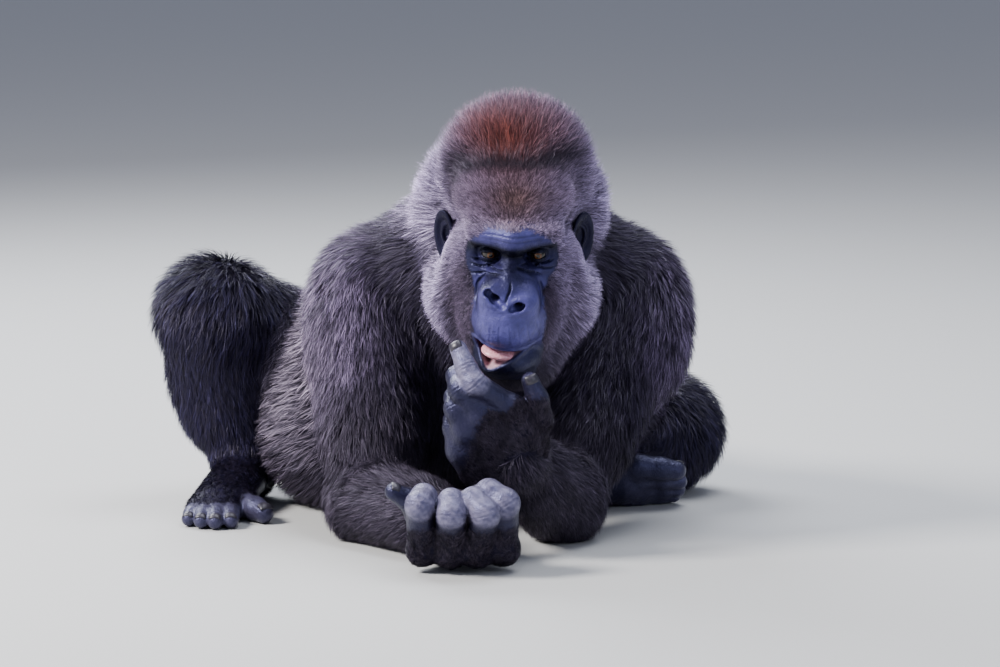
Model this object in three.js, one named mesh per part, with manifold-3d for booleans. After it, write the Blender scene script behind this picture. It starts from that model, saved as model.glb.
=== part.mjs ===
// A gorilla crouching on its elbows and belly, life size: a young adult male western lowland gorilla.
// Millimetres, +Z up, the animal faces -Y, and +X is its own left. The belly's flat rests on z = 0, and
// the origin is on that flat. Every solid reaches out to the tips of the coat, so its radii are flesh plus
// hair.
//
// The body is made of groups of round cones and ellipsoids. A group's distance field is the smooth union of
// its shapes; a node's solid is the surface of its own field, raised near its neighbours as a blend of the
// two would be, and cut back by the solids that are set into it.
import * as THREE from "three";
import Module from "manifold-3d";

const wasm = await Module();
wasm.setup();

// ---------- driving sizes ----------
const GAP = 0.35; // clearance between neighbouring solids
const FLOOR = 0;
const COAT = { none: 0, short: 8, limb: 14, body: 22, ruff: 28, cheek: 20, crown: 24 }; // depth of the hair
const BLEND = { finger: 7, face: 16, limb: 30, joint: 45, trunk: 80 }; // how far shapes melt together
// In the head's frame: the eyes, the left ear and the mouth, which is open towards its right corner.
const EYE = { middle: 4.5, apart: 68, at: [-115, 27], radius: 11.5 };
const EAR = { at: [95, -30, 14], across: [0.77, 0.64], out: [0.64, -0.77], half: [17, 35] };
// Each nostril from its inner end to its outer.
const NOSTRILS = [[[-9, -187, -21], [-28, -177, -7]], [[6, -187, -27], [24, -178, -22]]];
const MOUTH = { corner: [-47, -92], bottom: [-31, -126], far: [17, -99], back: -140 };
const TONGUE = { at: [-15, -160, -106], half: [20, 24, 8] };

// ---------- small vector and field helpers ----------
const v3 = (a) => new THREE.Vector3(...a);
const mix = (a, b, t) => a.map((x, i) => x + (b[i] - x) * t);
const mean = (points) => [0, 1, 2].map((i) => points.reduce((s, p) => s + p[i], 0) / points.length);
const smooth = (a, b, k) => {
  const h = Math.max(k - Math.abs(a - b), 0) / k;
  return Math.min(a, b) - (h * h * k) / 4;
};
const union = (fields, k) => (p) => fields.map((f) => f(p)).reduce((a, b) => smooth(a, b, k));

// A round cone from a to b. Its radii are flesh, and coat is added to both.
function cone(a, ra, b, rb, coat = COAT.limb) {
  const d = b.map((x, i) => x - a[i]);
  const long = d.reduce((s, x) => s + x * x, 0);
  return (p) => {
    const t = Math.min(1, Math.max(0, p.reduce((s, x, i) => s + (x - a[i]) * d[i], 0) / long));
    return Math.hypot(...p.map((x, i) => x - a[i] - d[i] * t)) - (ra + (rb - ra) * t) - coat;
  };
}

// An ellipsoid, with its distance near enough for small offsets.
function ball(c, radii, coat = COAT.limb) {
  const r = radii.map((x) => x + coat);
  return (p) => {
    const near = Math.hypot(...p.map((x, i) => (x - c[i]) / r[i]));
    const steep = Math.hypot(...p.map((x, i) => (x - c[i]) / (r[i] * r[i])));
    return steep < 1e-9 ? -Math.min(...r) : (near * (near - 1)) / steep;
  };
}

// Several cones end to end, as a finger's bones are.
const chain = (points, radii, coat, k = BLEND.finger) =>
  union(points.slice(1).map((b, i) => cone(points[i], radii[i], b, radii[i + 1], coat)), k);

// ---------- the head's own frame ----------
// In it the face looks along -Y, the ear canals lie on the X axis, and Z is up the skull.
const HEAD_AT = [21, -300, 440];
const HEAD_TURN = new THREE.Euler(
  ...[18, 0.5, -3].map(THREE.MathUtils.degToRad), "ZYX"); // pitched forward, tilted, and turned to its right
const headFrame = new THREE.Matrix4().compose(
  v3(HEAD_AT), new THREE.Quaternion().setFromEuler(HEAD_TURN), new THREE.Vector3(1, 1, 1));
const headInverse = headFrame.clone().invert();
const toHead = (p) => v3(p).applyMatrix4(headInverse).toArray();
const fromHead = (p) => v3(p).applyMatrix4(headFrame).toArray();
const bothSides = (make) => [-1, 1].flatMap(make);

// ---------- flesh and coat ----------
const eyeAt = (s) => [EYE.middle + (s * EYE.apart) / 2, ...EYE.at];

function headShape() {
  const skull = [
    ball([2, 8, 62], [86, 100, 90], COAT.body), // braincase
    ball([2, 8, 108], [89, 92, 77], COAT.crown), // crown pad over the crest
    ball([2, -68, 94], [80, 52, 60], COAT.short), // forehead
    ball([4, -96, 74], [66, 30, 26], COAT.short), // its step down to the brow
    ball([0, -82, 18], [80, 48, 56], COAT.short), // cheekbones
    ball([-7, 62, 36], [114, 66, 95], COAT.body), // nape
    cone([4, -120, 36], 15, [0, -158, -8], 19, COAT.none), // bridge of the nose
    ball([-3, -136, -58], [52, 63, 50], COAT.none), // muzzle
    ball([-6, -130, -122], [48, 53, 28], COAT.none), // lower lip
    ball([0, -112, -142], [48, 46, 36], COAT.short), // chin
    ...bothSides((s) => [
      cone([6, -134, 60], 16, [6 + s * 52, -114, 59], 15, COAT.none), // brow ridge
      cone([6, -139, 53], 10, [6 + s * 48, -119, 52], 9, COAT.none), // its lower edge, over the eye
      ball([s * 60, -62, -22], [40, 46, 60], COAT.cheek - 4), // slope from the face back to the cheek
      ball([s * 67 - 3, -32, -66], [42, 56, 62], COAT.cheek), // jaw muscle and cheek hair
      cone([s * 64 - 2, -20, -80], 38, [s * 24, -100, -144], 30, COAT.cheek), // jaw
      ball([s * 47, -92, -26], [33, 40, 48], COAT.short), // upper cheek
      ball([s * 40 - 3, -96, -78], [30, 50, 46], COAT.short), // side of the muzzle
      cone([4 + s * 12, -120, 10], 13, [s * 24 - 1, -150, -16], 16, COAT.none), // fan of the nose
      ball([s * 22, -166, -22 - s * 4], [20, 19, 20], COAT.none), // wing of the nose
    ]),
  ];
  const inHead = union(skull, BLEND.face);
  const hollows = union([
    ...bothSides((s) => [
      ball([eyeAt(s)[0], eyeAt(s)[1] - 8, eyeAt(s)[2]], [20, 16, 15], COAT.none), // eye socket
      ball([s * 113, -58, 14], [26, 36, 42], COAT.none), // the coat parts before the ear
    ]),
    ...NOSTRILS.map(([inner, outer]) => cone(inner, 5.5, outer, 7.5, COAT.none)),
    mouthOpening,
  ], 2);
  return (p) => {
    const q = toHead(p);
    return -smooth(-inHead(q), hollows(q), 5);
  };
}

// The gap between the lips: a prism that runs back from the front, level above and deepest near the right
// corner.
function mouthOpening([x, y, z]) {
  const { corner, bottom, far, back } = MOUTH;
  const above = (a, b) => {
    const d = [b[0] - a[0], b[1] - a[1]];
    return ((x - a[0]) * d[1] - (z - a[1]) * d[0]) / Math.hypot(...d);
  };
  const lower = -smooth(-above(corner, bottom), -above(bottom, far), 8);
  return Math.max(-smooth(-lower, above(corner, far), 3), y - back);
}

// An ear is a cupped plate, turned outwards and to the front, with a rolled rim.
function earShape(s) {
  const { at, across: w, out: n } = EAR;
  return (p) => {
    const q = toHead(p).map((x, i) => x - (i ? at[i] : s * at[i]));
    const a = s * w[0] * q[0] + w[1] * q[1];
    const depth = s * n[0] * q[0] + n[1] * q[1];
    const r = Math.hypot(a / EAR.half[0], (q[2] - 0.15 * a) / EAR.half[1]);
    const cup = 5 * r * r - 3;
    const plate = Math.max((r - 1) * 15, Math.abs(depth - cup) - 3);
    const rim = Math.hypot((r - 0.9) * EAR.half[0], depth - cup - 1.5) - 3.8;
    const root = Math.hypot((a + 10) / 1.2, depth + 9, q[2] / 2.6) - 9;
    return smooth(smooth(plate, rim, 3), root, 6);
  };
}

const HEAD = headShape();
const NECK = union([
  cone([14, -225, 425], 104, [0, -110, 352], 128, COAT.ruff),
  ...bothSides((s) => cone([s * 56, -185, 422], 76, [s * 165, -110, 352], 60, COAT.ruff)),
], BLEND.limb);
const TRUNK = union([
  ball([0, -85, 268], [188, 125, 150], COAT.body), // ribs
  ball([-12, -20, 300], [165, 150, 120], COAT.body), // shoulder blades
  ball([-185, 20, 215], [128, 130, 120], COAT.body), // right flank
  ball([-52, 40, 150], [284, 205, 145], COAT.body), // belly, spread on the ground
  ball([-228, 10, 88], [112, 120, 84], COAT.body), // right side of the belly, low down
  ball([-72, 215, 172], [178, 130, 128], COAT.body), // rump
], BLEND.trunk);

// The arms. The right forearm lies across the front, palm up; the left hand is raised to the mouth.
const ARMS = {
  right: {
    shoulder: [-182, -112, 322], elbow: [-188, -292, 56], wrist: [-58, -482, 56], wristRadius: 34,
    heel: [-34, -496, 50],
    knuckles: [[-108, -544, 30], [-70, -554, 29], [-32, -552, 29], [4, -538, 32]],
    fingers: [
      [[-110, -590, 102], [-105, -566, 109], [-104, -540, 100]],
      [[-67, -598, 90], [-67, -582, 105], [-64, -552, 102]],
      [[-20, -597, 91], [-36, -580, 107], [-44, -552, 102]],
      [[7, -578, 103], [-15, -566, 116], [-28, -544, 108]],
    ],
    thumb: [[-88, -500, 44], [-110, -518, 72], [-126, -534, 99], [-147, -542, 112]],
    radii: [20, 20, 18, 15],
  },
  left: {
    shoulder: [182, -112, 318], elbow: [88, -300, 58], wrist: [20, -455, 146], wristRadius: 37,
    heel: [-34, -458, 132],
    knuckles: [[14, -484, 220], [-26, -494, 210], [-46, -488, 188], [-52, -474, 160]],
    fingers: [
      [[-36, -508, 258], [-47, -500, 280], [-58, -486, 304]],
      [[-54, -500, 248], [-60, -478, 264], [-56, -452, 256]],
      [[-60, -490, 220], [-63, -466, 232], [-57, -444, 224]],
      [[-62, -474, 190], [-64, -452, 198], [-58, -434, 192]],
    ],
    thumb: [[34, -460, 168], [54, -468, 200], [52, -476, 232], [42, -478, 258]],
    radii: [19, 17.5, 14.5, 12],
  },
};

function armFields(a, side) {
  const half = mix(a.shoulder, a.elbow, 0.34);
  const belly = mix(a.elbow, a.wrist, 0.3);
  const centre = mean(a.knuckles);
  return {
    upper: union([
      cone(a.shoulder, 84, mix(a.shoulder, a.elbow, 0.66), 62, COAT.body),
      cone(half, 74, a.elbow, 46, COAT.limb + 2),
      ball([a.shoulder[0] + side * 24, a.shoulder[1] - 34, a.shoulder[2] - 44], [62, 72, 88], COAT.body),
    ], BLEND.limb),
    forearm: union([
      cone(a.elbow, 46, a.wrist, a.wristRadius, COAT.limb),
      cone(belly, 45, mix(a.elbow, a.wrist, 0.6), 41, COAT.limb),
    ], BLEND.limb),
    palm: union([
      ...a.knuckles.map((k) =>
        cone(a.wrist.map((x, i) => x + 0.4 * (k[i] - centre[i])), 25, k, a.radii[0] + 1, COAT.none)),
      cone(a.knuckles[3], 20, a.heel, 27, COAT.none),
    ], 18),
    fingers: a.fingers.map((f, i) => chain([a.knuckles[i], ...f], a.radii, COAT.none)),
    thumb: chain(a.thumb, [26, 20, 15.5, 12.5], COAT.none),
  };
}

// The legs. The right knee stands up beside the belly, foot flat; the left lies folded, its sole turned
// forward.
const LEGS = {
  right: {
    hip: [-188, 188, 126], knee: [-425, 0, 288], ankle: [-388, 20, 76], thigh: [92, 75],
    calf: [[-432, 36, 205], [-420, 40, 138]],
    heel: [-374, 48, 34], ball: [-412, -130, 26],
    roots: [[-378, -124], [-398, -154], [-414, -160], [-430, -156], [-444, -146]],
    tips: [[-346, -172], [-392, -214], [-414, -222], [-435, -214], [-454, -196]],
    toeAt: ([x, y], r) => [x, y, r - 1],
  },
  left: {
    hip: [40, 212, 150], knee: [250, 108, 94], ankle: [80, -14, 60], thigh: [102, 72],
    calf: [[178, 40, 76], [140, 20, 72]],
    heel: [60, -52, 36], ball: [190, -30, 36],
    roots: [[204, 66], [210, 46], [212, 30], [208, 18], [200, 12]],
    tips: [[262, 58], [268, 38], [266, 24], [260, 14], [250, 10]],
    toeAt: ([x, z], r) => [x, 4 - z * 0.9, Math.max(z, r - 1)],
  },
};
const TOE_RADII = [17, 13.5, 13.5, 13, 12.5];

function legFields(l) {
  const toes = l.roots.map((root, i) => {
    const r = TOE_RADII[i];
    return chain([l.toeAt(root, r + 4), l.toeAt(mix(root, l.tips[i], 0.6), r + 3), l.toeAt(l.tips[i], r)],
      [r + 1, r, r - 2], COAT.none);
  });
  return {
    thigh: union([cone(l.hip, l.thigh[0], l.knee, l.thigh[1], COAT.body)], BLEND.limb),
    shin: union([
      cone(l.knee, 66, l.ankle, 36, COAT.limb),
      ball(l.calf[0], [58, 58, 74], COAT.body),
      ball(l.calf[1], [52, 52, 60], COAT.limb),
    ], BLEND.limb),
    foot: union([
      cone(l.ankle, 34, l.heel, 30, COAT.short),
      cone(l.heel, 31, l.ball, 26, COAT.none),
      ...l.roots.map((root, i) =>
        cone(mix(l.heel, l.ankle, 0.5), 28, l.toeAt(root, TOE_RADII[i] + 4), 17, COAT.none)),
    ], 20),
    toes,
  };
}

// ---------- surfaces ----------
const STEPS = 24; // along a ray, to bracket the surface
const HALVINGS = 12; // of that bracket
const MIN_RISE = 0.3; // a ray that grazes the surface is lengthened by no more than the gap over this
// The surface of a field round an axis: rings of rays that leave the axis at right angles, and at each end a
// dome of rays that tilt towards the pole, or a flat end where the dome has no rings. Each ray stops where
// the field reaches zero, or at most at its reach. focus is a direction that the rays crowd towards, where
// there is more detail. It gives the solid, and the same solid grown all round by the gap, which cuts the
// neighbours back.
function surface(field, { axis, sides, rings, domes = [0, 2], reach, focus = [0.3, 0.2, 1], crowd = 0 }) {
  const curve = new THREE.CatmullRomCurve3(axis.map(v3), false, "centripetal");
  const points = [];
  const grown = [];
  const keep = (point, push) => {
    points.push(point);
    grown.push(point.clone().add(push));
  };
  const cast = (from, way, extra) => {
    const at = (s) => field([from.x + way.x * s, from.y + way.y * s, from.z + way.z * s]);
    const step = reach / STEPS;
    let near = 0;
    while (near < reach && at(near + step) < 0) near += step;
    let far = near + step;
    for (let pass = 0; pass < HALVINGS; pass++) {
      const middle = (near + far) / 2;
      if (at(middle) < 0) near = middle;
      else far = middle;
    }
    const rise = Math.min(1, Math.max(MIN_RISE, at(near + 1) - at(near)));
    keep(from.clone().addScaledVector(way, near), way.clone().multiplyScalar(GAP / rise).add(extra));
  };
  const none = new THREE.Vector3();
  const cap = (centre, along, sign, dome) => {
    const outward = along.clone().multiplyScalar(sign);
    if (dome) cast(centre, outward, none);
    else keep(centre, outward.multiplyScalar(GAP));
  };

  const stations = [];
  let out = v3(focus);
  for (let i = 0; i <= rings; i++) {
    const along = curve.getTangent(i / rings);
    out = out.clone().projectOnPlane(along).normalize();
    const side = new THREE.Vector3().crossVectors(along, out);
    stations.push({ centre: curve.getPoint(i / rings), along, out, side });
  }
  const rows = [];
  for (let i = 1; i <= domes[0]; i++) rows.push([0, (i / (domes[0] + 1) - 1) * (Math.PI / 2)]);
  for (let i = 0; i <= rings; i++) rows.push([i, 0]);
  for (let i = 1; i <= domes[1]; i++) rows.push([rings, (i / (domes[1] + 1)) * (Math.PI / 2)]);

  cap(stations[0].centre, stations[0].along, -1, domes[0]);
  rows.forEach(([i, tilt], row) => {
    const { centre, along, out: front, side } = stations[i];
    const flat = (row === 0 && !domes[0] ? -GAP : 0) + (row === rows.length - 1 && !domes[1] ? GAP : 0);
    for (let j = 0; j < sides; j++) {
      const u = (j / sides) * 2 * Math.PI;
      const angle = u - crowd * Math.sin(u);
      const way = front.clone().multiplyScalar(Math.cos(angle)).addScaledVector(side, Math.sin(angle))
        .multiplyScalar(Math.cos(tilt)).addScaledVector(along, Math.sin(tilt));
      cast(centre, way, along.clone().multiplyScalar(flat));
    }
  });
  cap(stations[rings].centre, stations[rings].along, 1, domes[1]);

  const at = (row, j) => 1 + row * sides + (j % sides);
  const triangles = [];
  for (let j = 0; j < sides; j++) {
    triangles.push(0, at(0, j + 1), at(0, j));
    for (let row = 1; row < rows.length; row++) {
      const [a, b, c, d] = [at(row - 1, j), at(row - 1, j + 1), at(row, j + 1), at(row, j)];
      if (points[a].distanceTo(points[c]) < points[b].distanceTo(points[d])) triangles.push(a, b, c, a, c, d);
      else triangles.push(a, b, d, b, c, d);
    }
    triangles.push(points.length - 1, at(rows.length - 1, j), at(rows.length - 1, j + 1));
  }
  return { solid: solidOf(points, triangles), whole: solidOf(grown, triangles) };
}

function solidOf(points, triangles) {
  return new wasm.Manifold(new wasm.Mesh({
    numProp: 3,
    vertProperties: new Float32Array(points.flatMap((p) => p.toArray())),
    triVerts: new Uint32Array(triangles),
  }));
}

// ---------- nodes ----------
// In this order each solid keeps its whole shape, and every later one is cut back by it: those that are set
// into others come first.
const specs = [];
const add = (name, own, joined, mesh, colour, roughness = 0.8) =>
  specs.push({ name, own, joined, mesh, colour, roughness });

// The own field, raised towards each neighbour as a smooth union of the two would be.
const blended = (own, joined) => (p) => {
  const a = own(p);
  return joined.reduce((value, [other, k]) => {
    const h = Math.max(k - Math.abs(a - other(p)), 0) / k;
    return value - (h * h * k) / 4;
  }, a);
};

const COLOUR = {
  coat: 0x17141a, grey: 0x4a444c, brown: 0x3d2620, skin: 0x2b2c38, pad: 0x5a5a68, mouth: 0xb4565a,
  eye: 0x8a5a24,
};
const FINGERS = ["index", "middle", "ring", "little"];
const SIDES = ["left", "right"];
const arms = { right: armFields(ARMS.right, -1), left: armFields(ARMS.left, 1) };
const legs = { right: legFields(LEGS.right), left: legFields(LEGS.left) };

const turned = (direction) => v3(direction).transformDirection(headFrame).toArray();
for (const side of SIDES) {
  const s = side === "left" ? 1 : -1;
  const eye = eyeAt(s);
  add("eye_" + side, ball(fromHead(eye), [EYE.radius, EYE.radius, EYE.radius], COAT.none), [], {
    axis: [-5, 5].map((t) => fromHead([eye[0], eye[1] + t, eye[2]])),
    sides: 8, rings: 1, domes: [1, 1], reach: 14,
  }, COLOUR.eye, 0.2);
  const [x, y, z] = EAR.at;
  add("ear_" + side, earShape(s), [], {
    axis: [-0.7, 0, 0.7].map((t) => fromHead([s * (x - 1), y + 2, z + t * EAR.half[1]])),
    sides: 8, rings: 3, domes: [1, 1], reach: 34, focus: turned([s, -1, 0]), crowd: 0.3,
  }, COLOUR.skin);
}
add("tongue", ball(fromHead(TONGUE.at), TONGUE.half, COAT.none), [], {
  axis: [-12, 12].map((t) => fromHead([TONGUE.at[0] + t, TONGUE.at[1], TONGUE.at[2]])),
  sides: 7, rings: 1, domes: [1, 1], reach: 26,
}, COLOUR.mouth, 0.4);
for (const side of SIDES) {
  const a = ARMS[side];
  const f = arms[side];
  add("thumb_" + side, f.thumb, [[f.palm, 22]], { axis: a.thumb, sides: 8, rings: 4, reach: 26 }, COLOUR.pad);
  FINGERS.forEach((name, i) => {
    const axis = [a.knuckles[i], ...a.fingers[i]];
    add(name + "_finger_" + side, f.fingers[i], [[f.palm, 12]],
      { axis, sides: 7, rings: 4, reach: 28 }, COLOUR.pad);
  });
}
for (const side of SIDES) {
  const l = LEGS[side];
  legs[side].toes.forEach((toe, i) => {
    const [root, tip, r] = [l.roots[i], l.tips[i], TOE_RADII[i]];
    const axis = [l.toeAt(root, r + 4), l.toeAt(mix(root, tip, 0.5), r + 3), l.toeAt(tip, r)];
    add("toe_" + (i + 1) + "_" + side, toe, [[legs[side].foot, 12]],
      { axis, sides: 6, rings: 2, domes: [0, 1], reach: 26 }, COLOUR.skin);
  });
}
for (const side of SIDES) {
  const a = ARMS[side];
  add("hand_" + side, arms[side].palm, [[arms[side].forearm, BLEND.limb]],
    { axis: [a.wrist, mix(a.wrist, mean(a.knuckles), 0.85)], sides: 8, rings: 3, reach: 110 }, COLOUR.skin);
}
const chinToCrown = [
  [0, -94, -142], [0, -92, -104], [0, -84, -64], [0, -68, -24], [0, -50, 16], [1, -36, 56], [2, 5, 144],
];
add("head", HEAD, [[NECK, BLEND.joint]], {
  axis: chinToCrown.map(fromHead),
  sides: 26, rings: 18, domes: [1, 2], reach: 230, focus: turned([0, -1, 0]), crowd: 0.55,
}, COLOUR.brown);
for (const side of SIDES) {
  const a = ARMS[side];
  const l = LEGS[side];
  add("forearm_" + side, arms[side].forearm, [[arms[side].upper, BLEND.joint], [arms[side].palm, BLEND.limb]],
    { axis: [a.elbow, a.wrist], sides: 10, rings: 4, domes: [2, 0], reach: 110 }, COLOUR.coat);
  add("foot_" + side, legs[side].foot, [[legs[side].shin, BLEND.limb]],
    { axis: [l.heel, l.ball], sides: 8, rings: 3, domes: [1, 1], reach: 90 }, COLOUR.skin);
  add("shin_" + side, legs[side].shin, [[legs[side].thigh, BLEND.joint], [legs[side].foot, BLEND.limb]], {
    axis: [l.knee, mix(mix(l.knee, l.ankle, 0.4), l.calf[0], 0.5), l.ankle],
    sides: 10, rings: 5, domes: [0, 0], reach: 140,
  }, COLOUR.coat);
}
for (const side of SIDES) {
  const a = ARMS[side];
  const l = LEGS[side];
  add("upper_arm_" + side, arms[side].upper,
    [[TRUNK, BLEND.joint], [NECK, BLEND.joint], [arms[side].forearm, BLEND.joint]],
    { axis: [a.shoulder, a.elbow], sides: 12, rings: 4, domes: [2, 0], reach: 180 }, COLOUR.coat);
  add("thigh_" + side, legs[side].thigh, [[TRUNK, BLEND.joint], [legs[side].shin, BLEND.joint]],
    { axis: [l.hip, l.knee], sides: 12, rings: 4, reach: 180 }, COLOUR.coat);
}
add("neck", NECK, [[HEAD, BLEND.joint], [TRUNK, BLEND.trunk]],
  { axis: [[12, -235, 425], [0, -110, 352]], sides: 12, rings: 2, domes: [0, 2], reach: 300 }, COLOUR.coat);
const limbs = SIDES.flatMap((s) => [[arms[s].upper, BLEND.joint], [legs[s].thigh, BLEND.joint]]);
add("trunk", TRUNK, [[NECK, BLEND.trunk], ...limbs], {
  axis: [[0, -100, 290], [-30, 0, 225], [-60, 120, 180], [-75, 220, 168]],
  sides: 13, rings: 5, domes: [2, 2], reach: 340,
}, COLOUR.grey);

// Cuts every solid back by the ones before it, and lays it flat on the floor.
function build() {
  const group = new THREE.Group();
  const before = [];
  for (const s of specs) {
    const { solid: uncut, whole } = surface(blended(s.own, s.joined), s.mesh);
    const cut = before.filter((b) => meets(b, uncut)).reduce((solid, b) => solid.subtract(b), uncut);
    const solid = largest(cut.trimByPlane([0, 0, 1], FLOOR));
    before.push(whole);
    const mesh = new THREE.Mesh(geometryOf(solid),
      new THREE.MeshStandardMaterial({ color: s.colour, roughness: s.roughness, metalness: 0 }));
    mesh.name = s.name;
    group.add(mesh);
  }
  return group;
}

function meets(a, b) {
  const p = a.boundingBox();
  const q = b.boundingBox();
  return [0, 1, 2].every((i) => p.min[i] < q.max[i] && q.min[i] < p.max[i]);
}

const largest = (solid) => solid.decompose().reduce((a, b) => (b.volume() > a.volume() ? b : a));

function geometryOf(solid) {
  const m = solid.getMesh();
  const positions = new Float32Array(m.numVert * 3);
  for (let i = 0; i < m.numVert; i++)
    positions.set(m.vertProperties.subarray(i * m.numProp, i * m.numProp + 3), i * 3);
  const g = new THREE.BufferGeometry()
    .setAttribute("position", new THREE.BufferAttribute(positions, 3))
    .setIndex(new THREE.BufferAttribute(m.triVerts, 1));
  g.computeVertexNormals();
  return g;
}

export default build();
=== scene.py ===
"""A gorilla lying on its elbows and belly: one skin inside the solids, and the coat as mesh tufts over it.

Sizes are in millimetres until a mesh is made. The skin's field has the same round cones and ellipsoids as the
solids, without the coat's depth, and the finer forms of the face, hands and feet are added to it.
"""

import math

import bpy
import numpy as np
from mathutils import Euler, Matrix, Vector


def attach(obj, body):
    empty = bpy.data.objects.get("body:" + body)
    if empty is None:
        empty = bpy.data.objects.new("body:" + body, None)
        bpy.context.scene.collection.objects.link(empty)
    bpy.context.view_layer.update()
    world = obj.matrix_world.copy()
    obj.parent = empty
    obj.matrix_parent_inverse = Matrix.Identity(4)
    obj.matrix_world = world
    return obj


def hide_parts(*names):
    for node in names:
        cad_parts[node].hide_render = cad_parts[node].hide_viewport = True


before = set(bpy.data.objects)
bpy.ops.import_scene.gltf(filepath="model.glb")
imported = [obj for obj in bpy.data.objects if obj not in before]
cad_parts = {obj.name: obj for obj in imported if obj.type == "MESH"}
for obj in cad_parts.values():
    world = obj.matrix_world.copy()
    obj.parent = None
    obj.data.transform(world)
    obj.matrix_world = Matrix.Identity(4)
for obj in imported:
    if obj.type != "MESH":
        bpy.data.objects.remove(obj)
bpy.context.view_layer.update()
RANDOM = np.random.default_rng(7)
MM = 0.001
FAR = np.float32(999)  # the field beyond a part's box
NO_FLOOR = -999
DEEPEST = 34  # no coat goes deeper

# ---------- sizes of the solids ----------
NONE, SHORT, LIMB, BODY, RUFF, CHEEK, CROWN = 0, 8, 14, 22, 28, 20, 24  # depths of the coat
BLEND = {"finger": 7, "face": 16, "limb": 30, "joint": 45, "trunk": 80}
HEAD_AT = (21, -300, 440)
HEAD_TURN = Euler([math.radians(a) for a in (18, 0.5, -3)], "XYZ")
SIDES = (("right", -1), ("left", 1))
EYE_RADIUS = 11.5
EYES = {side: np.array((4.5 + s * 34, -115, 27)) for side, s in SIDES}
EAR_AT = (95, -30, 14)

head_frame = np.array(Matrix.LocRotScale(Vector(HEAD_AT), HEAD_TURN, None))


def to_head(p):
    return (p - head_frame[:3, 3]) @ head_frame[:3, :3]


def from_head(q):
    return np.asarray(q, float) @ head_frame[:3, :3].T + head_frame[:3, 3]


# ---------- fields ----------
class Field:
    """A distance field: at(points, share) adds that share of the coat, and low and high bound it."""

    def __init__(self, at, low, high):
        self.at, self.low, self.high = at, np.asarray(low, float), np.asarray(high, float)


def dot(a, b):
    return np.einsum("ij,ij->i", a, b)


def norm(v):
    return np.sqrt(dot(v, v))


def directions(v):
    return v / np.maximum(norm(v), 1e-6)[:, None]


def unit(v):
    return v / np.linalg.norm(v)


def smooth(a, b, k):
    """The smaller of two values, rounded over a width of k where they meet."""
    h = np.maximum(k - np.abs(a - b), 0) / k
    return np.minimum(a, b) - h * h * k / 4


def cone(a, ra, b, rb, coat=LIMB):
    a, b = np.array(a, float), np.array(b, float)
    d = b - a

    def at(p, share):
        t = np.clip((p - a) @ d / (d @ d), 0, 1)
        return norm(p - a - t[:, None] * d) - (ra + (rb - ra) * t) - coat * share

    return Field(at, np.minimum(a - ra, b - rb) - coat, np.maximum(a + ra, b + rb) + coat)


def ball(centre, radii, coat=LIMB):
    centre, radii = np.array(centre, float), np.array(radii, float)

    def at(p, share):
        r = radii + coat * share
        v = (p - centre) / r
        near = norm(v)
        return near * (near - 1) / np.maximum(norm(v / r), 1e-6)

    return Field(at, centre - radii - coat, centre + radii + coat)


def union(fields, k):
    def at(p, share):
        value = fields[0].at(p, share)
        for field in fields[1:]:
            value = smooth(value, field.at(p, share), k)
        return value

    return Field(at, np.min([f.low for f in fields], 0), np.max([f.high for f in fields], 0))


def chain(points, radii, coat, k=BLEND["finger"]):
    return union([cone(a, ra, b, rb, coat) for a, ra, b, rb in zip(points, radii, points[1:], radii[1:])], k)


def mix(a, b, t):
    return np.asarray(a, float) * (1 - t) + np.asarray(b, float) * t


def toward(a, b):
    return unit(np.asarray(b, float) - np.asarray(a, float))


def bump_at(d, width):
    return np.exp(-((d / width) ** 2))


def step(x, low, high):
    t = np.clip((x - low) / (high - low), 0, 1)
    return t * t * (3 - 2 * t)


def waves(p, scale, seed):
    """A smooth random value from -1 to 1, with patches about scale wide."""
    rng = np.random.default_rng(seed)
    total = np.zeros(len(p))
    for _ in range(6):
        place = p @ unit(rng.normal(size=3))
        total += np.sin(place * (5 / scale) * rng.uniform(0.7, 1.5) + rng.uniform(0, 6.3))
    return total / 6


def path_distance(points, path):
    """The distance of points from a line through path, and how far along it they lie, from 0 to 1."""
    best, along = np.full(len(points), 1e6), np.zeros(len(points))
    path = np.asarray(path, float)
    for i, (a, b) in enumerate(zip(path, path[1:])):
        d = b - a
        t = np.clip((points - a) @ d / (d @ d), 0, 1)
        far = norm(points - a - t[:, None] * d)
        nearer = far < best
        best[nearer] = far[nearer]
        along[nearer] = (i + t[nearer]) / (len(path) - 1)
    return best, along


def curve(path, steps=6):
    """A smooth line through a path's points."""
    path = np.asarray(path, float)
    ends = np.concatenate([[2 * path[0] - path[1]], path, [2 * path[-1] - path[-2]]])
    t = np.linspace(0, 1, steps, endpoint=False)[:, None]
    rows = [0.5 * (2 * b + (c - a) * t + (2 * a - 5 * b + 4 * c - d) * t**2 + (3 * b - a - 3 * c + d) * t**3)
            for a, b, c, d in zip(ends, ends[1:], ends[2:], ends[3:])]
    return np.concatenate([*rows, path[-1:]])


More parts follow.
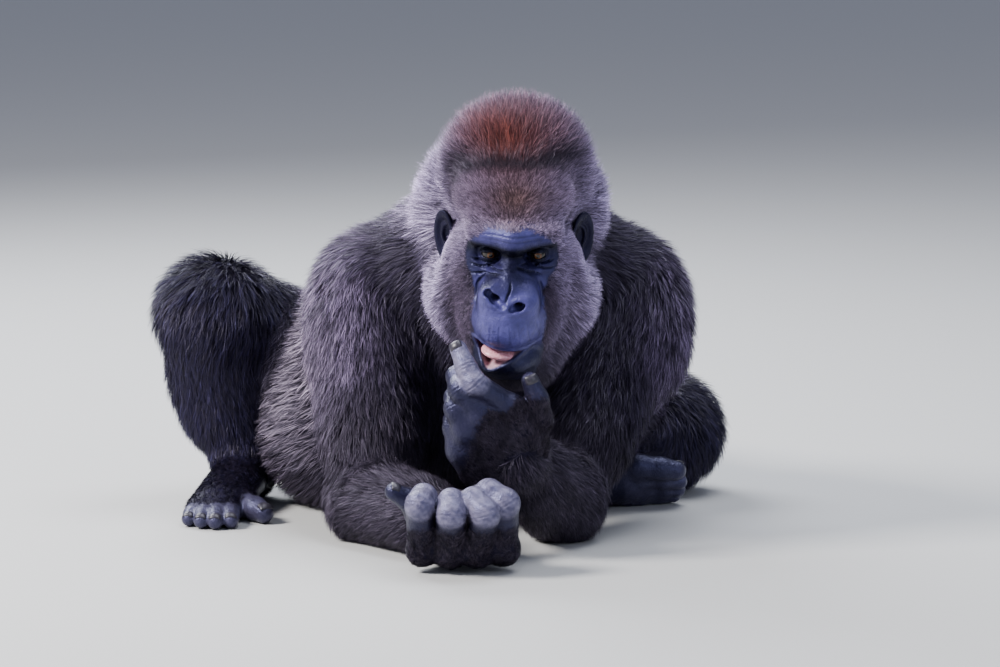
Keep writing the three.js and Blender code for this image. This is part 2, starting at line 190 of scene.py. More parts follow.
# ---------- the head ----------
def head_flesh():
    """The head's flesh, without eyes, nostrils, mouth and ears."""
    skull = [
        ball((2, 8, 62), (86, 100, 90), BODY),  # braincase
        ball((2, 8, 108), (89, 92, 77), CROWN),  # crown pad over the crest
        ball((2, -68, 94), (80, 52, 60), SHORT),  # forehead
        ball((4, -96, 74), (66, 30, 26), SHORT),  # its step down to the brow
        ball((0, -82, 18), (80, 48, 56), SHORT),  # cheekbones
        ball((-7, 62, 36), (114, 66, 95), BODY),  # nape
        cone((4, -120, 36), 15, (0, -158, -8), 19, NONE),  # bridge of the nose
        ball((-3, -136, -58), (52, 63, 50), NONE),  # muzzle
        ball((-6, -130, -122), (48, 53, 28), NONE),  # lower lip
        ball((0, -112, -142), (48, 46, 36), SHORT),  # chin
    ]
    for s in (-1, 1):
        skull += [
            cone((6, -134, 60), 16, (6 + s * 52, -114, 59), 15, NONE),  # brow ridge
            cone((6, -139, 53), 10, (6 + s * 48, -119, 52), 9, NONE),  # its lower edge, over the eye
            ball((s * 60, -62, -22), (40, 46, 60), CHEEK - 4),  # slope from the face back to the cheek
            ball((s * 67 - 3, -32, -66), (42, 56, 62), CHEEK),  # jaw muscle
            cone((s * 64 - 2, -20, -80), 38, (s * 24, -100, -144), 30, CHEEK),  # jaw
            ball((s * 47, -92, -26), (33, 40, 48), SHORT),  # upper cheek
            ball((s * 40 - 3, -96, -78), (30, 50, 46), SHORT),  # side of the muzzle
            cone((4 + s * 12, -120, 10), 13, (s * 24 - 1, -150, -16), 16, NONE),  # fan of the nose
            ball((s * 22, -166, -22 - s * 4), (20, 19, 20), NONE),  # wing of the nose
        ]
    return union(skull, BLEND["face"])


SKULL = head_flesh()
NOSTRILS = (((-9, -187, -21), (-28, -177, -7)), ((6, -187, -27), (24, -178, -22)))  # inner and outer ends
# Creases of the face, each a path in x and z seen from the front, a width and a depth.
CREASES = [
    ([(-9, 22), (-25, 18), (-42, 17), (-56, 21)], 1.4, 2.1),  # under the right eye
    ([(-5, 18), (-21, 13), (-39, 10), (-57, 13)], 1.5, 2.4),
    ([(-5, 15), (-23, 8), (-40, 2), (-56, 0)], 1.5, 2.5),
    ([(-8, 11), (-25, 5), (-38, -3), (-47, -14)], 1.5, 2.2),
    ([(-40, -4), (-45, -14), (-46, -28), (-47, -44)], 3.0, 1.3),  # round the nose's right wing
    ([(10, 22), (19, 15), (30, 8), (45, -2)], 1.5, 2.4),  # under the left eye
    ([(14, 23), (29, 18), (47, 15), (64, 19)], 1.4, 2.0),
    ([(17, 20), (33, 13), (49, 8), (64, 8)], 1.5, 1.9),
    ([(38, -6), (43, -16), (44, -30), (42, -48)], 3.0, 1.2),  # round the left wing
    ([(3, 8), (2, -3), (-2, -11), (-4, -18)], 2.0, 2.4),  # between the nose's lobes
    ([(-9, 26), (4, 25), (16, 26)], 1.2, 0.5),  # across the bridge
    ([(-8, 19), (3, 18), (13, 19)], 1.2, 0.5),
    ([(-40, 64), (0, 67), (48, 64)], 1.4, 0.6),  # along the brow
    ([(-44, 58), (0, 60), (56, 58)], 1.4, 0.5),
]
CREASES += [([(x, -46), (x * 1.08, -66), (x * 1.15, -86)], 1.4, 0.35) for x in (-36, -24, -12, 2, 14, 26, 37)]


def face_relief(q):
    """How far the finer forms of the face stand out, at points in the head's frame."""
    x, y, z = q.T
    out = np.zeros(len(q))
    front = np.nonzero((y < -60) & (np.abs(x) < 75) & (np.abs(z + 10) < 85))[0]
    if not len(front):
        return out
    flat = q[front][:, [0, 2]]
    total = np.zeros(len(front))
    for path, width, depth in CREASES:
        d, along = path_distance(flat, curve(path))
        ends = np.minimum(1, 5 * np.minimum(along, 1 - along) + 0.1)
        total += depth * ends * (0.55 * bump_at(d, 2.6 * width) - 1.45 * bump_at(d, width))
    out[front] = total * step(-y[front], 60, 95)
    return out


def carve(value, hole, k):
    """What is left of a value's solid outside a hole, with the edge rounded by k."""
    return -smooth(-value, hole, k)


def bareness(q, margin=0):
    """From 0 where the head bears hair to 1 on the bare face, at points in the head's frame.

    With a margin the change from hair to skin is spread over that much more of the hairy side.
    """
    x, y, z = q.T
    heights = (-150, -112, -92, -60, -22, 8, 27, 48, 58, 68)
    left = np.interp(z, heights, (34, 46, 46, 45, 44, 63, 66, 62, 48, 34))
    right = np.interp(z, heights, (-42, -48, -50, -50, -46, -60, -62, -57, -42, -28))
    middle, half = (left + right) / 2, (left - right) / 2
    edge = 4 * waves(q, 22, 11)
    sides = step(half - np.abs(x - middle) + edge, -9 - margin, 8)
    below_brow, above_chin = step(72 + edge - z, -4 - margin, 6), step(z - edge, -156, -142)
    return sides * below_brow * above_chin * (y < -70)


def head_at(p, share):
    """The head: with hollows before the ears in the coat, or with lids and creases in the skin."""
    q = to_head(p)
    value = SKULL.at(q, share)
    for side, s in SIDES:
        e = EYES[side]
        value = carve(value, ball(e + (0, -8, 0), (20, 16, 15), NONE).at(q, 0), 8)
        if share:
            value = carve(value, ball((s * 113, -58, 14), (26, 36, 42), NONE).at(q, 0), 8)
        else:
            value = smooth(value, norm(q - e) - (EYE_RADIUS + 2.0), 7)
            value = carve(value, eye_opening(q - e), 1.5)
    for inner, outer in NOSTRILS:
        deep = mix(inner, outer, 0.35) + (0, 34, 6)
        passage = cone(mix(inner, outer, 0.5), 6.5, deep, 5, NONE)
        hole = union([cone(inner, 4.2, outer, 5.8, NONE), passage], 4).at(q, 0)
        if not share:
            value = value - 1.8 * bump_at(hole - 4, 3.5)
        value = carve(value, hole, 3)
    gap = mouth_opening(q)
    if not share:
        value = value - face_relief(q) - 2.4 * bump_at(gap - 4, 4) * (q[:, 1] < -110)
    return carve(value, gap, 4)


def mouth_opening(q):
    """The gap between the lips, level above and deepest near the right corner."""
    x, y, z = q.T

    def above(a, b):
        d = np.subtract(b, a) / np.hypot(*np.subtract(b, a))
        return (x - a[0]) * d[1] - (z - a[1]) * d[0]

    corner, bottom, far = (-47, -92), (-31, -126), (17, -99)
    gap = -smooth(-above(corner, bottom), -above(bottom, far), 8)
    gap = -smooth(-gap, above(corner, far), 3)
    return np.maximum(gap, y + 140)


def eye_opening(v):
    """The almond between the lids, open to the front and ending inside the eyeball."""
    x, y, z = v.T
    high = np.where(z > 0, 4.6, 3.8)
    almond = (np.sqrt((x / 12.5) ** 2 + (z / high) ** 2) - 1) * high
    return np.maximum(almond, y + 4)


def ear_field(s):
    """An ear: a cupped plate turned out and forward, with a rolled rim, an inner fold and a hollow."""
    across = np.array((s * 0.77, 0.64, 0))
    out = np.array((s * 0.64, -0.77, 0))
    centre = np.array(EAR_AT) * (s, 1, 1)

    def at(p, share):
        q = to_head(p) - centre
        a, n, z = q @ across, q @ out, q[:, 2]
        r = np.sqrt((a / 17) ** 2 + ((z - 0.15 * a) / 35) ** 2)
        cup = 5 * r * r - 3
        plate = np.maximum((r - 1) * 15, np.abs(n - cup) - 3)
        rim = np.sqrt(((r - 0.9) * 17) ** 2 + (n - cup - 1.5) ** 2) - 3.8
        here = np.stack([a, n, z], 1)
        fold, _ = path_distance(here, curve([(-4, 1, 21), (4, 2, 13), (6, 2, -2), (0, 1, -16)], 3))
        tragus = norm(np.stack([a + 15, n - 3, z + 8], 1)) - 5
        root = norm(np.stack([(a + 10) / 1.2, n + 9, z / 2.6], 1)) - 9
        value = smooth(smooth(plate, rim, 3), fold - 2.6, 3)
        value = smooth(smooth(value, tragus, 4), root, 6)
        return carve(value, ball((-5, 3, -3), (7, 6, 12), NONE).at(here, 0), 6)

    middle = from_head(centre)
    return Field(at, middle - 48, middle + 48)


# ---------- trunk, arms and legs ----------
FIELDS = {
    "head": Field(head_at, (-150, -520, 230), (190, -150, 680)),
    "neck": union([
        cone((14, -225, 425), 104, (0, -110, 352), 128, RUFF),
        *[cone((s * 56, -185, 422), 76, (s * 165, -110, 352), 60, RUFF) for s in (-1, 1)],
    ], BLEND["limb"]),
    "trunk": union([
        ball((0, -85, 268), (188, 125, 150), BODY),
        ball((-12, -20, 300), (165, 150, 120), BODY),
        ball((-185, 20, 215), (128, 130, 120), BODY),
        ball((-52, 40, 150), (284, 205, 145), BODY),
        ball((-228, 10, 88), (112, 120, 84), BODY),
        ball((-72, 215, 172), (178, 130, 128), BODY),
    ], BLEND["trunk"]),
}
BODY_TREE = [("trunk", 0), ("neck", BLEND["trunk"]), ("head", BLEND["joint"])]
LIMBS = []
ARMS = {
    "right": {
        "shoulder": (-182, -112, 322), "elbow": (-188, -292, 56), "wrist": (-58, -482, 56),
        "wrist_radius": 34, "heel": (-34, -496, 50),
        "knuckles": [(-108, -544, 30), (-70, -554, 29), (-32, -552, 29), (4, -538, 32)],
        "fingers": [
            [(-110, -590, 102), (-105, -566, 109), (-104, -540, 100)],
            [(-67, -598, 90), (-67, -582, 105), (-64, -552, 102)],
            [(-20, -597, 91), (-36, -580, 107), (-44, -552, 102)],
            [(7, -578, 103), (-15, -566, 116), (-28, -544, 108)],
        ],
        "thumb": [(-88, -500, 44), (-110, -518, 72), (-126, -534, 99), (-147, -542, 112)],
        "radii": (20, 20, 18, 15), "thumb_up": (-0.2, -0.4, 0.9),
    },
    "left": {
        "shoulder": (182, -112, 318), "elbow": (88, -300, 58), "wrist": (20, -455, 146),
        "wrist_radius": 37, "heel": (-34, -458, 132),
        "knuckles": [(14, -484, 220), (-26, -494, 210), (-46, -488, 188), (-52, -474, 160)],
        "fingers": [
            [(-36, -508, 258), (-47, -500, 280), (-58, -486, 304)],
            [(-54, -500, 248), (-60, -478, 264), (-56, -452, 256)],
            [(-60, -490, 220), (-63, -466, 232), (-57, -444, 224)],
            [(-62, -474, 190), (-64, -452, 198), (-58, -434, 192)],
        ],
        "thumb": [(34, -460, 168), (54, -468, 200), (52, -476, 232), (42, -478, 258)],
        "radii": (19, 17.5, 14.5, 12), "thumb_up": (0.3, -0.95, 0.1),
    },
}
LEGS = {
    "right": {
        "hip": (-188, 188, 126), "knee": (-425, 0, 288), "ankle": (-388, 20, 76), "thigh": (92, 75),
        "calf": [(-432, 36, 205), (-420, 40, 138)], "heel": (-374, 48, 34), "ball": (-412, -130, 26),
        "roots": [(-378, -124), (-398, -154), (-414, -160), (-430, -156), (-444, -146)],
        "tips": [(-346, -172), (-392, -214), (-414, -222), (-435, -214), (-454, -196)],
        "toe_at": lambda a, r: (a[0], a[1], r - 1), "toe_up": (0, 0, 1),
    },
    "left": {
        "hip": (40, 212, 150), "knee": (250, 108, 94), "ankle": (80, -14, 60), "thigh": (102, 72),
        "calf": [(178, 40, 76), (140, 20, 72)], "heel": (60, -52, 36), "ball": (190, -30, 36),
        "roots": [(204, 66), (210, 46), (212, 30), (208, 18), (200, 12)],
        "tips": [(262, 58), (268, 38), (266, 24), (260, 14), (250, 10)],
        "toe_at": lambda a, r: (a[0], 4 - a[1] * 0.9, max(a[1], r - 1)), "toe_up": (0, 0.8, 0.6),
    },
}
TOE_RADII = (17, 13.5, 13.5, 13, 12.5)
THUMB_RADII = (26, 20, 15.5, 12.5)
FINGERS = ("index", "middle", "ring", "little")
TOE_PATHS = {}


def near_root(root, k, reach):
    """A blend that is k wide at a finger's root and 3 wide beyond reach, so that its length stays free."""
    return lambda p: 3 + (k - 3) * bump_at(norm(p - root), reach)


def creased(points, radii):
    """A finger's bones with creases in the skin across its joints."""
    plain = chain(points, radii, NONE)

    def at(p, share):
        value = plain.at(p, share)
        if share:
            return value
        for before, joint, after in zip(points, points[1:], points[2:]):
            along = toward(before, joint) + toward(joint, after)
            near = (p - np.asarray(joint, float)) @ unit(along) + 0.8 * waves(p, 14, 21)
            for place, deep in ((-5, 0.7), (0, 1.2), (5, 0.6)):
                value = value + deep * bump_at(near - place, 1.3)
        return value

    return Field(at, plain.low, plain.high)


def add_arm(side, s):
    """Adds an arm's fields, how they join and the pads of its fingers."""
    a = ARMS[side]
    shoulder, elbow, wrist = (np.array(a[n], float) for n in ("shoulder", "elbow", "wrist"))
    FIELDS["upper_arm_" + side] = union([
        cone(shoulder, 84, mix(shoulder, elbow, 0.66), 62, BODY),
        cone(mix(shoulder, elbow, 0.34), 74, elbow, 46, LIMB + 2),
        ball(shoulder + (s * 24, -34, -44), (62, 72, 88), BODY),
    ], BLEND["limb"])
    FIELDS["forearm_" + side] = union([
        cone(elbow, 46, wrist, a["wrist_radius"], LIMB),
        cone(mix(elbow, wrist, 0.3), 45, mix(elbow, wrist, 0.6), 41, LIMB),
    ], BLEND["limb"])
    knuckles = np.array(a["knuckles"], float)
    centre = knuckles.mean(0)
    FIELDS["hand_" + side] = union(
        [cone(wrist + 0.4 * (k - centre), 25, k, a["radii"][0] + 1, NONE) for k in knuckles]
        + [cone(a["knuckles"][3], 20, a["heel"], 27, NONE)], 18)
    FIELDS["thumb_" + side] = creased(a["thumb"], THUMB_RADII)
    tree = [("upper_arm_" + side, 0), ("forearm_" + side, BLEND["joint"]), ("hand_" + side, BLEND["limb"]),
            ("thumb_" + side, near_root(a["thumb"][0], 22, 60))]
    for name, knuckle, bones in zip(FINGERS, a["knuckles"], a["fingers"]):
        FIELDS[f"{name}_finger_{side}"] = creased([knuckle, *bones], a["radii"])
        tree.append((f"{name}_finger_{side}", near_root(knuckle, 14, 34)))
        if side == "right":
            PADS.append((np.array(bones, float) + (0, -6, 0), 25, 68))
        elif name == "index":
            PADS.append((bones[:1] + bones[2:], 26, 240))
    LIMBS.append(tree)


def add_leg(side):
    """Adds a leg's fields and how they join."""
    leg = LEGS[side]
    knee, ankle, heel = leg["knee"], leg["ankle"], leg["heel"]
    FIELDS["thigh_" + side] = cone(leg["hip"], leg["thigh"][0], knee, leg["thigh"][1], BODY)
    FIELDS["shin_" + side] = union([
        cone(knee, 66, ankle, 36, LIMB),
        ball(leg["calf"][0], (58, 58, 74), BODY),
        ball(leg["calf"][1], (52, 52, 60), LIMB),
    ], BLEND["limb"])
    toe_at, arch = leg["toe_at"], mix(heel, ankle, 0.5)
    FIELDS["foot_" + side] = union(
        [cone(ankle, 34, heel, 30, SHORT), cone(heel, 31, leg["ball"], 26, NONE)]
        + [cone(arch, 28, toe_at(root, r + 4), 17, NONE) for root, r in zip(leg["roots"], TOE_RADII)], 20)
    tree = [("thigh_" + side, 0), ("shin_" + side, BLEND["joint"]), ("foot_" + side, BLEND["limb"])]
    for i, (root, tip, r) in enumerate(zip(leg["roots"], leg["tips"], TOE_RADII)):
        path = [toe_at(root, r + 4), toe_at(mix(root, tip, 0.6), r + 3), toe_at(tip, r)]
        TOE_PATHS[f"toe_{i + 1}_{side}"] = (path, r)
        FIELDS[f"toe_{i + 1}_{side}"] = chain(path, (r + 1, r, r - 2), NONE)
        tree.append((f"toe_{i + 1}_{side}", near_root(path[0], 14, 30)))
    LIMBS.append(tree)


PADS = []
for side, s in SIDES:
    FIELDS["ear_" + side] = ear_field(s)
    BODY_TREE.append(("ear_" + side, 6))
    add_arm(side, s)
    add_leg(side)
NAMES = list(FIELDS)
MARGINS = {name: 100 if name in ("trunk", "neck", "head") else 50 for name in NAMES}


def merged(own, tree, p):
    """The smooth union of a tree's parts, one after another."""
    value = own[tree[0][0]]
    for name, k in tree[1:]:
        value = smooth(value, own[name], k(p) if callable(k) else k)
    return value


def body_at(p, share=0.0, floor=0.8):
    """The whole animal's field at points, with a share of the coat, and the index of the nearest part."""
    own = {}
    for name in NAMES:
        field, margin = FIELDS[name], MARGINS[name]
        near = ((p > field.low - margin) & (p < field.high + margin)).all(1)
        value = np.full(len(p), FAR)
        if near.any():
            value[near] = field.at(p[near], share)
        own[name] = value
    value = merged(own, BODY_TREE + [(limb[0][0], BLEND["joint"]) for limb in LIMBS], p)
    for limb in LIMBS:
        value = np.minimum(value, merged(own, limb, p))
    part = np.argmin(np.stack([own[name] for name in NAMES]), 0)
    return np.maximum(value, floor - p[:, 2]), part


def in_chunks(function, p, size=200000):
    """A function's results at points, worked out for size of them at a time."""
    parts = [function(p[i:i + size]) for i in range(0, len(p), size)]
    return tuple(np.concatenate(c) for c in zip(*parts))


def gradient(p):
    """The skin field's value and slope at points."""
    value = body_at(p)[0]
    slope = np.stack([body_at(p + np.eye(3)[i] * 0.4)[0] - value for i in range(3)], 1) / 0.4
    return value, slope


def settle(p, passes=2):
    """Points moved onto the skin, and their outward normals."""
    for _ in range(passes):
        value, slope = in_chunks(gradient, p)
        p = p - slope * np.clip(value / np.maximum(dot(slope, slope), 0.3), -4, 4)[:, None]
    return p, directions(slope)


# ---------- the skin's mesh ----------
def spaced(low, high, fine_low, fine_high, fine, coarse):
    """Grid lines, fine between two bounds and coarse outside them."""
    before = np.linspace(low, fine_low, max(1, round((fine_low - low) / coarse)), endpoint=False)
    middle = np.linspace(fine_low, fine_high, round((fine_high - fine_low) / fine), endpoint=False)
    after = np.linspace(fine_high, high, round((high - fine_high) / coarse) + 1)
    return np.concatenate([before, middle, after])


def grid_values(lines, block=8):
    """The field on a grid: its own value in the blocks near the surface, and elsewhere its block's."""
    counts = [len(line) for line in lines]
    groups = [np.arange(n) // block for n in counts]
    cut = [[line[g == i] for i in range(g[-1] + 1)] for line, g in zip(lines, groups)]
    centres = [np.array([block_lines.mean() for block_lines in axis]) for axis in cut]
    halves = [np.array([np.ptp(block_lines) / 2 for block_lines in axis]) for axis in cut]
    p = np.stack(np.meshgrid(*centres, indexing="ij"), -1).reshape(-1, 3)
    reach = norm(np.stack(np.meshgrid(*halves, indexing="ij"), -1).reshape(-1, 3))
    coarse, _ = in_chunks(body_at, p)
    shape = [len(c) for c in centres]
    values = coarse.reshape(shape)[np.ix_(*groups)]
    near = (np.abs(coarse) < 1.3 * reach + 12).reshape(shape)[np.ix_(*groups)]
    at = np.nonzero(near)
    values[at] = in_chunks(body_at, np.stack([line[i] for line, i in zip(lines, at)], 1))[0]
    return values


def surface_net(lines, values):
    """Quads round each grid edge that crosses the surface, with a vertex in each cell that it passes."""
    inside = values < 0
    mixed = np.zeros([n - 1 for n in values.shape], bool)
    corners = [(i, j, k) for i in (0, 1) for j in (0, 1) for k in (0, 1)]
    take = lambda a, corner: a[tuple(slice(c, n - 1 + c) for c, n in zip(corner, a.shape))]
    first = take(inside, (0, 0, 0))
    for c in corners[1:]:
        mixed |= take(inside, c) != first
    cells = np.stack(np.nonzero(mixed), 1)
    number = np.full(mixed.shape, -1, np.int64)
    number[tuple(cells.T)] = np.arange(len(cells))
    total, count = np.zeros((len(cells), 3)), np.zeros(len(cells))
    for a in corners:
        for axis in range(3):
            if a[axis]:
                continue
            b = tuple(x + (i == axis) for i, x in enumerate(a))
            va, vb = (values[tuple((cells + c).T)] for c in (a, b))
            crossing = (va < 0) != (vb < 0)
            t = va[crossing] / (va[crossing] - vb[crossing])
            pa, pb = (np.stack([lines[i][cells[crossing, i] + c[i]] for i in range(3)], 1) for c in (a, b))
            total[crossing] += pa + (pb - pa) * t[:, None]
            count[crossing] += 1
    points = total / count[:, None]
    quads = []
    for axis in range(3):
        u, v = [(1, 2), (2, 0), (0, 1)][axis]
        along = np.moveaxis(inside, axis, 0)
        at = np.stack(np.nonzero(np.moveaxis(along[:-1] != along[1:], 0, axis)), 1)
        at = at[(at[:, u] > 0) & (at[:, v] > 0) & (at[:, u] < mixed.shape[u]) & (at[:, v] < mixed.shape[v])]
        around = []
        for du, dv in ((1, 1), (0, 1), (0, 0), (1, 0)):
            cell = at.copy()
            cell[:, u] -= du
            cell[:, v] -= dv
            around.append(number[tuple(cell.T)])
        quad = np.stack(around, 1)
        outward = inside[tuple(at.T)]
        quad[~outward] = quad[~outward][:, ::-1]
        quads.append(quad)
    return points, np.concatenate(quads)


def triangles_of(points, quads):
    """Each quad cut along its shorter diagonal."""
    a, b, c, d = quads.T
    short = norm(points[a] - points[c]) < norm(points[b] - points[d])
    one = np.where(short[:, None], np.stack([a, b, c], 1), np.stack([a, b, d], 1))
    two = np.where(short[:, None], np.stack([a, c, d], 1), np.stack([b, c, d], 1))
    return np.concatenate([one, two])


def edge_ends(faces):
    """The two vertices of each face's three edges, the lower number first."""
    return np.sort(faces[:, [[0, 1], [1, 2], [2, 0]]].reshape(-1, 2), 1)


def refine(points, faces, target, passes):
    """Splits the edges that are longer than target(middle), and the faces on them, passes times."""
    for _ in range(passes):
        edges = edge_ends(faces)
        keys, inverse = np.unique(edges[:, 0] * len(points) + edges[:, 1], return_inverse=True)
        ends = np.stack([keys // len(points), keys % len(points)], 1)
        middle = points[ends].mean(1)
        split = norm(points[ends[:, 0]] - points[ends[:, 1]]) > target(middle)
        new = np.full(len(keys), -1)
        new[split] = len(points) + np.arange(split.sum())
        points = np.concatenate([points, middle[split]])
        on = new[inverse].reshape(-1, 3)
        code = (on >= 0) @ (1, 2, 4)
        made = [faces[code == 0]]
        for codes, cut in ((((1, 0), (2, 1), (4, 2)), 1), (((3, 0), (6, 1), (5, 2)), 2), (((7, 0),), 3)):
            for wanted, turn in codes:
                a, b, c = np.roll(faces[code == wanted], -turn, 1).T
                m, n, o = np.roll(on[code == wanted], -turn, 1).T
                parts = {1: [(a, m, c), (m, b, c)], 2: [(m, b, n), (a, m, n), (a, n, c)],
                         3: [(a, m, o), (m, b, n), (o, n, c), (m, n, o)]}[cut]
                made += [np.stack(t, 1) for t in parts]
        faces = np.concatenate(made)
    return points, faces


EDGES = {"nose": 1.35, "face": 2.2, "hands": 2.7, "feet": 3.8}  # lengths of the skin's edges, ears as hands


def fineness(p):
    """The wanted edge length at points: short in each of these places, and growing away from it."""
    q = to_head(p)
    face = norm((q - (0, -150, -20)) / (75, 75, 130))
    ears = norm((np.abs(q) - (104, 22, 15)) / (20, 24, 48))
    hands = norm((p - (-50, -530, 150)) / (115, 100, 160))
    feet = np.minimum(norm((p - (-405, -180, 15)) / (70, 60, 40)), norm((p - (235, 0, 30)) / (55, 60, 50)))
    core = norm((q - (2, -160, -5)) / (66, 70, 62))
    hands = np.minimum(ears, hands)
    places = (("nose", core, 4), ("face", face, 9), ("hands", hands, 12), ("feet", feet, 12))
    return np.min([EDGES[name] + growth * np.maximum(far - 1, 0) for name, far, growth in places], 0)


def make_skin():
    """The skin's points, faces and normals, from a grid that is finer round the head and hands."""
    low, high = (-520, -630, -8), (345, 362, 648)
    fine = ((-140, 130, 3.7), (-615, -290, 3.7), (0, 480, 3.9))
    coarse = 9
    lines = [spaced(a, b, *bounds, coarse) for a, b, bounds in zip(low, high, fine)]
    points, quads = surface_net(lines, grid_values(lines))
    faces = triangles_of(points, quads)
    points, faces = refine(settle(points)[0], faces, fineness, 3)
    points, normals = settle(points)
    return points, faces, normals


def mesh_object(name, points, faces, material):
    """A smooth mesh from points in mm, turned into metres, and faces of equal size."""
    mesh = bpy.data.meshes.new(name)
    mesh.vertices.add(len(points))
    mesh.vertices.foreach_set("co", (points * MM).astype(np.float32).ravel())
    mesh.loops.add(faces.size)
    mesh.loops.foreach_set("vertex_index", faces.astype(np.int32).ravel())
    mesh.polygons.add(len(faces))
    mesh.polygons.foreach_set("loop_start", np.arange(0, faces.size, faces.shape[1], dtype=np.int32))
    mesh.update(calc_edges=True)
    mesh.polygons.foreach_set("use_smooth", np.full(len(faces), True))
    mesh.materials.append(material)
    made = bpy.data.objects.new(name, mesh)
    bpy.context.scene.collection.objects.link(made)
    return made


# ---------- the lie and the colours of the coat ----------
def lie_of(name, p):
    """The way that a part's hair lies, at points."""
    if name == "head":
        return (directions(to_head(p) - (2, -150, 55)) + (0, 0.35, -0.1)) @ head_frame[:3, :3].T
    if name == "neck":
        return directions(p - HEAD_AT) + (0, 0.3, -0.5)
    if name == "trunk":
        return np.outer((p[:, 0] + 40) / 300, (1, 0, 0)) + (0, 0.9, -0.75)
    limb, side = name.rsplit("_", 1)
    arm, leg = ARMS[side], LEGS[side]
    ways = {
        "upper_arm": toward(arm["shoulder"], arm["elbow"]) + (0, 0.15, -0.3),
        "forearm": toward(arm["wrist"], arm["elbow"]) + (0, 0, -0.5),
        "hand": toward(arm["wrist"], arm["knuckles"][1]),
        "thigh": 0.35 * toward(leg["hip"], leg["knee"]) + (0, 0, -1),
        "shin": toward(leg["knee"], leg["ankle"]) + (0, 0.2, 0),
        "foot": toward(leg["heel"], leg["ball"]),
    }
    return np.broadcast_to(ways.get(limb, (0, -0.2, 1)), p.shape)


def spread(value, edges, passes):
    """A value or a vector at vertices, evened out along the edges."""
    columns = value.reshape(len(value), -1)
    count = np.bincount(edges.ravel(), minlength=len(value))[:, None] + 1.0
    for _ in range(passes):
        total = columns.copy()
        for into, old in zip(total.T, columns.T):
            for here, there in (edges.T, edges.T[::-1]):
                into += np.bincount(here, old[there], len(value))
        columns = total / count
    return columns.reshape(value.shape)


def coat_colours(p, q, legs):
    """The coat's colour at its roots and at its tips, with painted light, shade and sheen in it, at points of
    the skin and in the head's frame.
    """
    x, y, z = q.T
    patchy = 0.5 + 0.5 * waves(p, 34, 3)
    # Most of the coat's colours lean to purple and blue: dark hair with a painted blue sheen.
    root = np.full((len(p), 3), (0.008, 0.006, 0.012))
    tip = mix((0.030, 0.023, 0.046), (0.100, 0.076, 0.125), patchy[:, None])

    def paint(where, share, tips, roots=None):
        nonlocal root, tip
        tip = mix(tip, tips, (where * share)[:, None])
        if roots:
            root = mix(root, roots, where[:, None])

    # Paler tips higher on the shoulders and arms: partly the coat's own grizzle, partly painted sheen where
    # the light falls from above.
    grizzle_and_top_sheen = step(p[:, 2], 110, 290) * step(p[:, 1], -330, -180)
    paint(grizzle_and_top_sheen, 0.2 + 0.75 * patchy, (0.54, 0.41, 0.70))
    # Painted light: a pool of much paler tips on the right flank, the side toward the key lamp.
    painted_flank_light = bump_at(norm((p - (-290, -35, 225)) / (1, 1.5, 1.3)), 95)
    paint(painted_flank_light, 0.5 + 0.4 * patchy, (0.95, 0.80, 1.0))
    paint(legs, 1, (0.026, 0.023, 0.070))
    head = step(170 - norm(q * (1, 0.9, 0.75)), -25, 20)
    paint(head, 0.9, (0.60, 0.48, 0.78), (0.022, 0.016, 0.028))
    outer = step(np.abs(x - 4), 80, 102) * step(140 - z, 0, 25) * head
    paint(outer, 0.8, (1.0, 0.84, 1.3))
    forward = step(-y, 10, 50)
    by_face = bump_at(np.maximum(norm((q - (-10, -110, -52)) / (1, 1.2, 1.3)) - 67, 0), 13) * forward
    paint(by_face, 0.95, (0.115, 0.078, 0.135), (0.010, 0.008, 0.014))
    top = step(z, 100, 150) * head
    paint(top * bump_at(x - 2, 105), 0.92, (0.24, 0.15, 0.20))
    # Paler tips over the forehead: partly the hair's own colour, partly a painted highlight.
    front = bump_at(x - 4, 78) * bump_at(z - 104, 34) * step(-y, 30, 70)
    paint(front, 0.92, (0.47, 0.32, 0.45), (0.036, 0.018, 0.020))
    brown = bump_at(x - 6, 30) * bump_at(z - 104, 26) * step(-y, 30, 70)
    paint(brown, 0.8, (0.40, 0.23, 0.20))
    crown = bump_at(x + 8, 56) * bump_at(z - 160, 24) * step(-y, -30, 20) * head
    paint(crown, 0.97, (0.24, 0.062, 0.038), (0.060, 0.013, 0.009))
    over_brow = bump_at(z - 74, 4) * step(-y, 70, 100) * bump_at(x - 4, 56)
    paint(over_brow, 0.5, (0.55, 0.46, 0.66))
    # Painted shade: darker tips in the groove down each side of the forehead.
    for groove_shade_at, width, height, share in ((-84, 26, 46, 0.9), (97, 11, 34, 0.8)):
        paint(bump_at(x - groove_shade_at, width) * bump_at(z - 96, height) * forward, share, (0.13, 0.095, 0.15))
    beside = step(240 - np.abs(p[:, 0] - 15), 0, 75) * step(-z, -4, 30) * step(-p[:, 1], 60, 130)
    beside = beside * np.maximum(step(y, -25, 12), step(norm(q * (1, 1, 0.8)), 165, 185))
    paint(beside, 0.94, (0.026, 0.020, 0.044), (0.007, 0.005, 0.011))
    jaw = step(-z, 85, 135) * step(-y, 20, 80)
    paint(jaw, 0.75, (0.10, 0.08, 0.11))
    # Painted shade: nearly black hair along the fold over the forehead.
    over_forehead = curve([(-91, 66), (-88, 90), (-79, 112), (-58, 133), (-8, 144), (68, 137), (90, 115),
                           (97, 92), (98, 66)])
    fold = bump_at(path_distance(q[:, [0, 2]], over_forehead)[0], 7.5) * forward
    paint(fold, 0.92, (0.02, 0.014, 0.018), (0.005, 0.004, 0.007))
    return root, tip


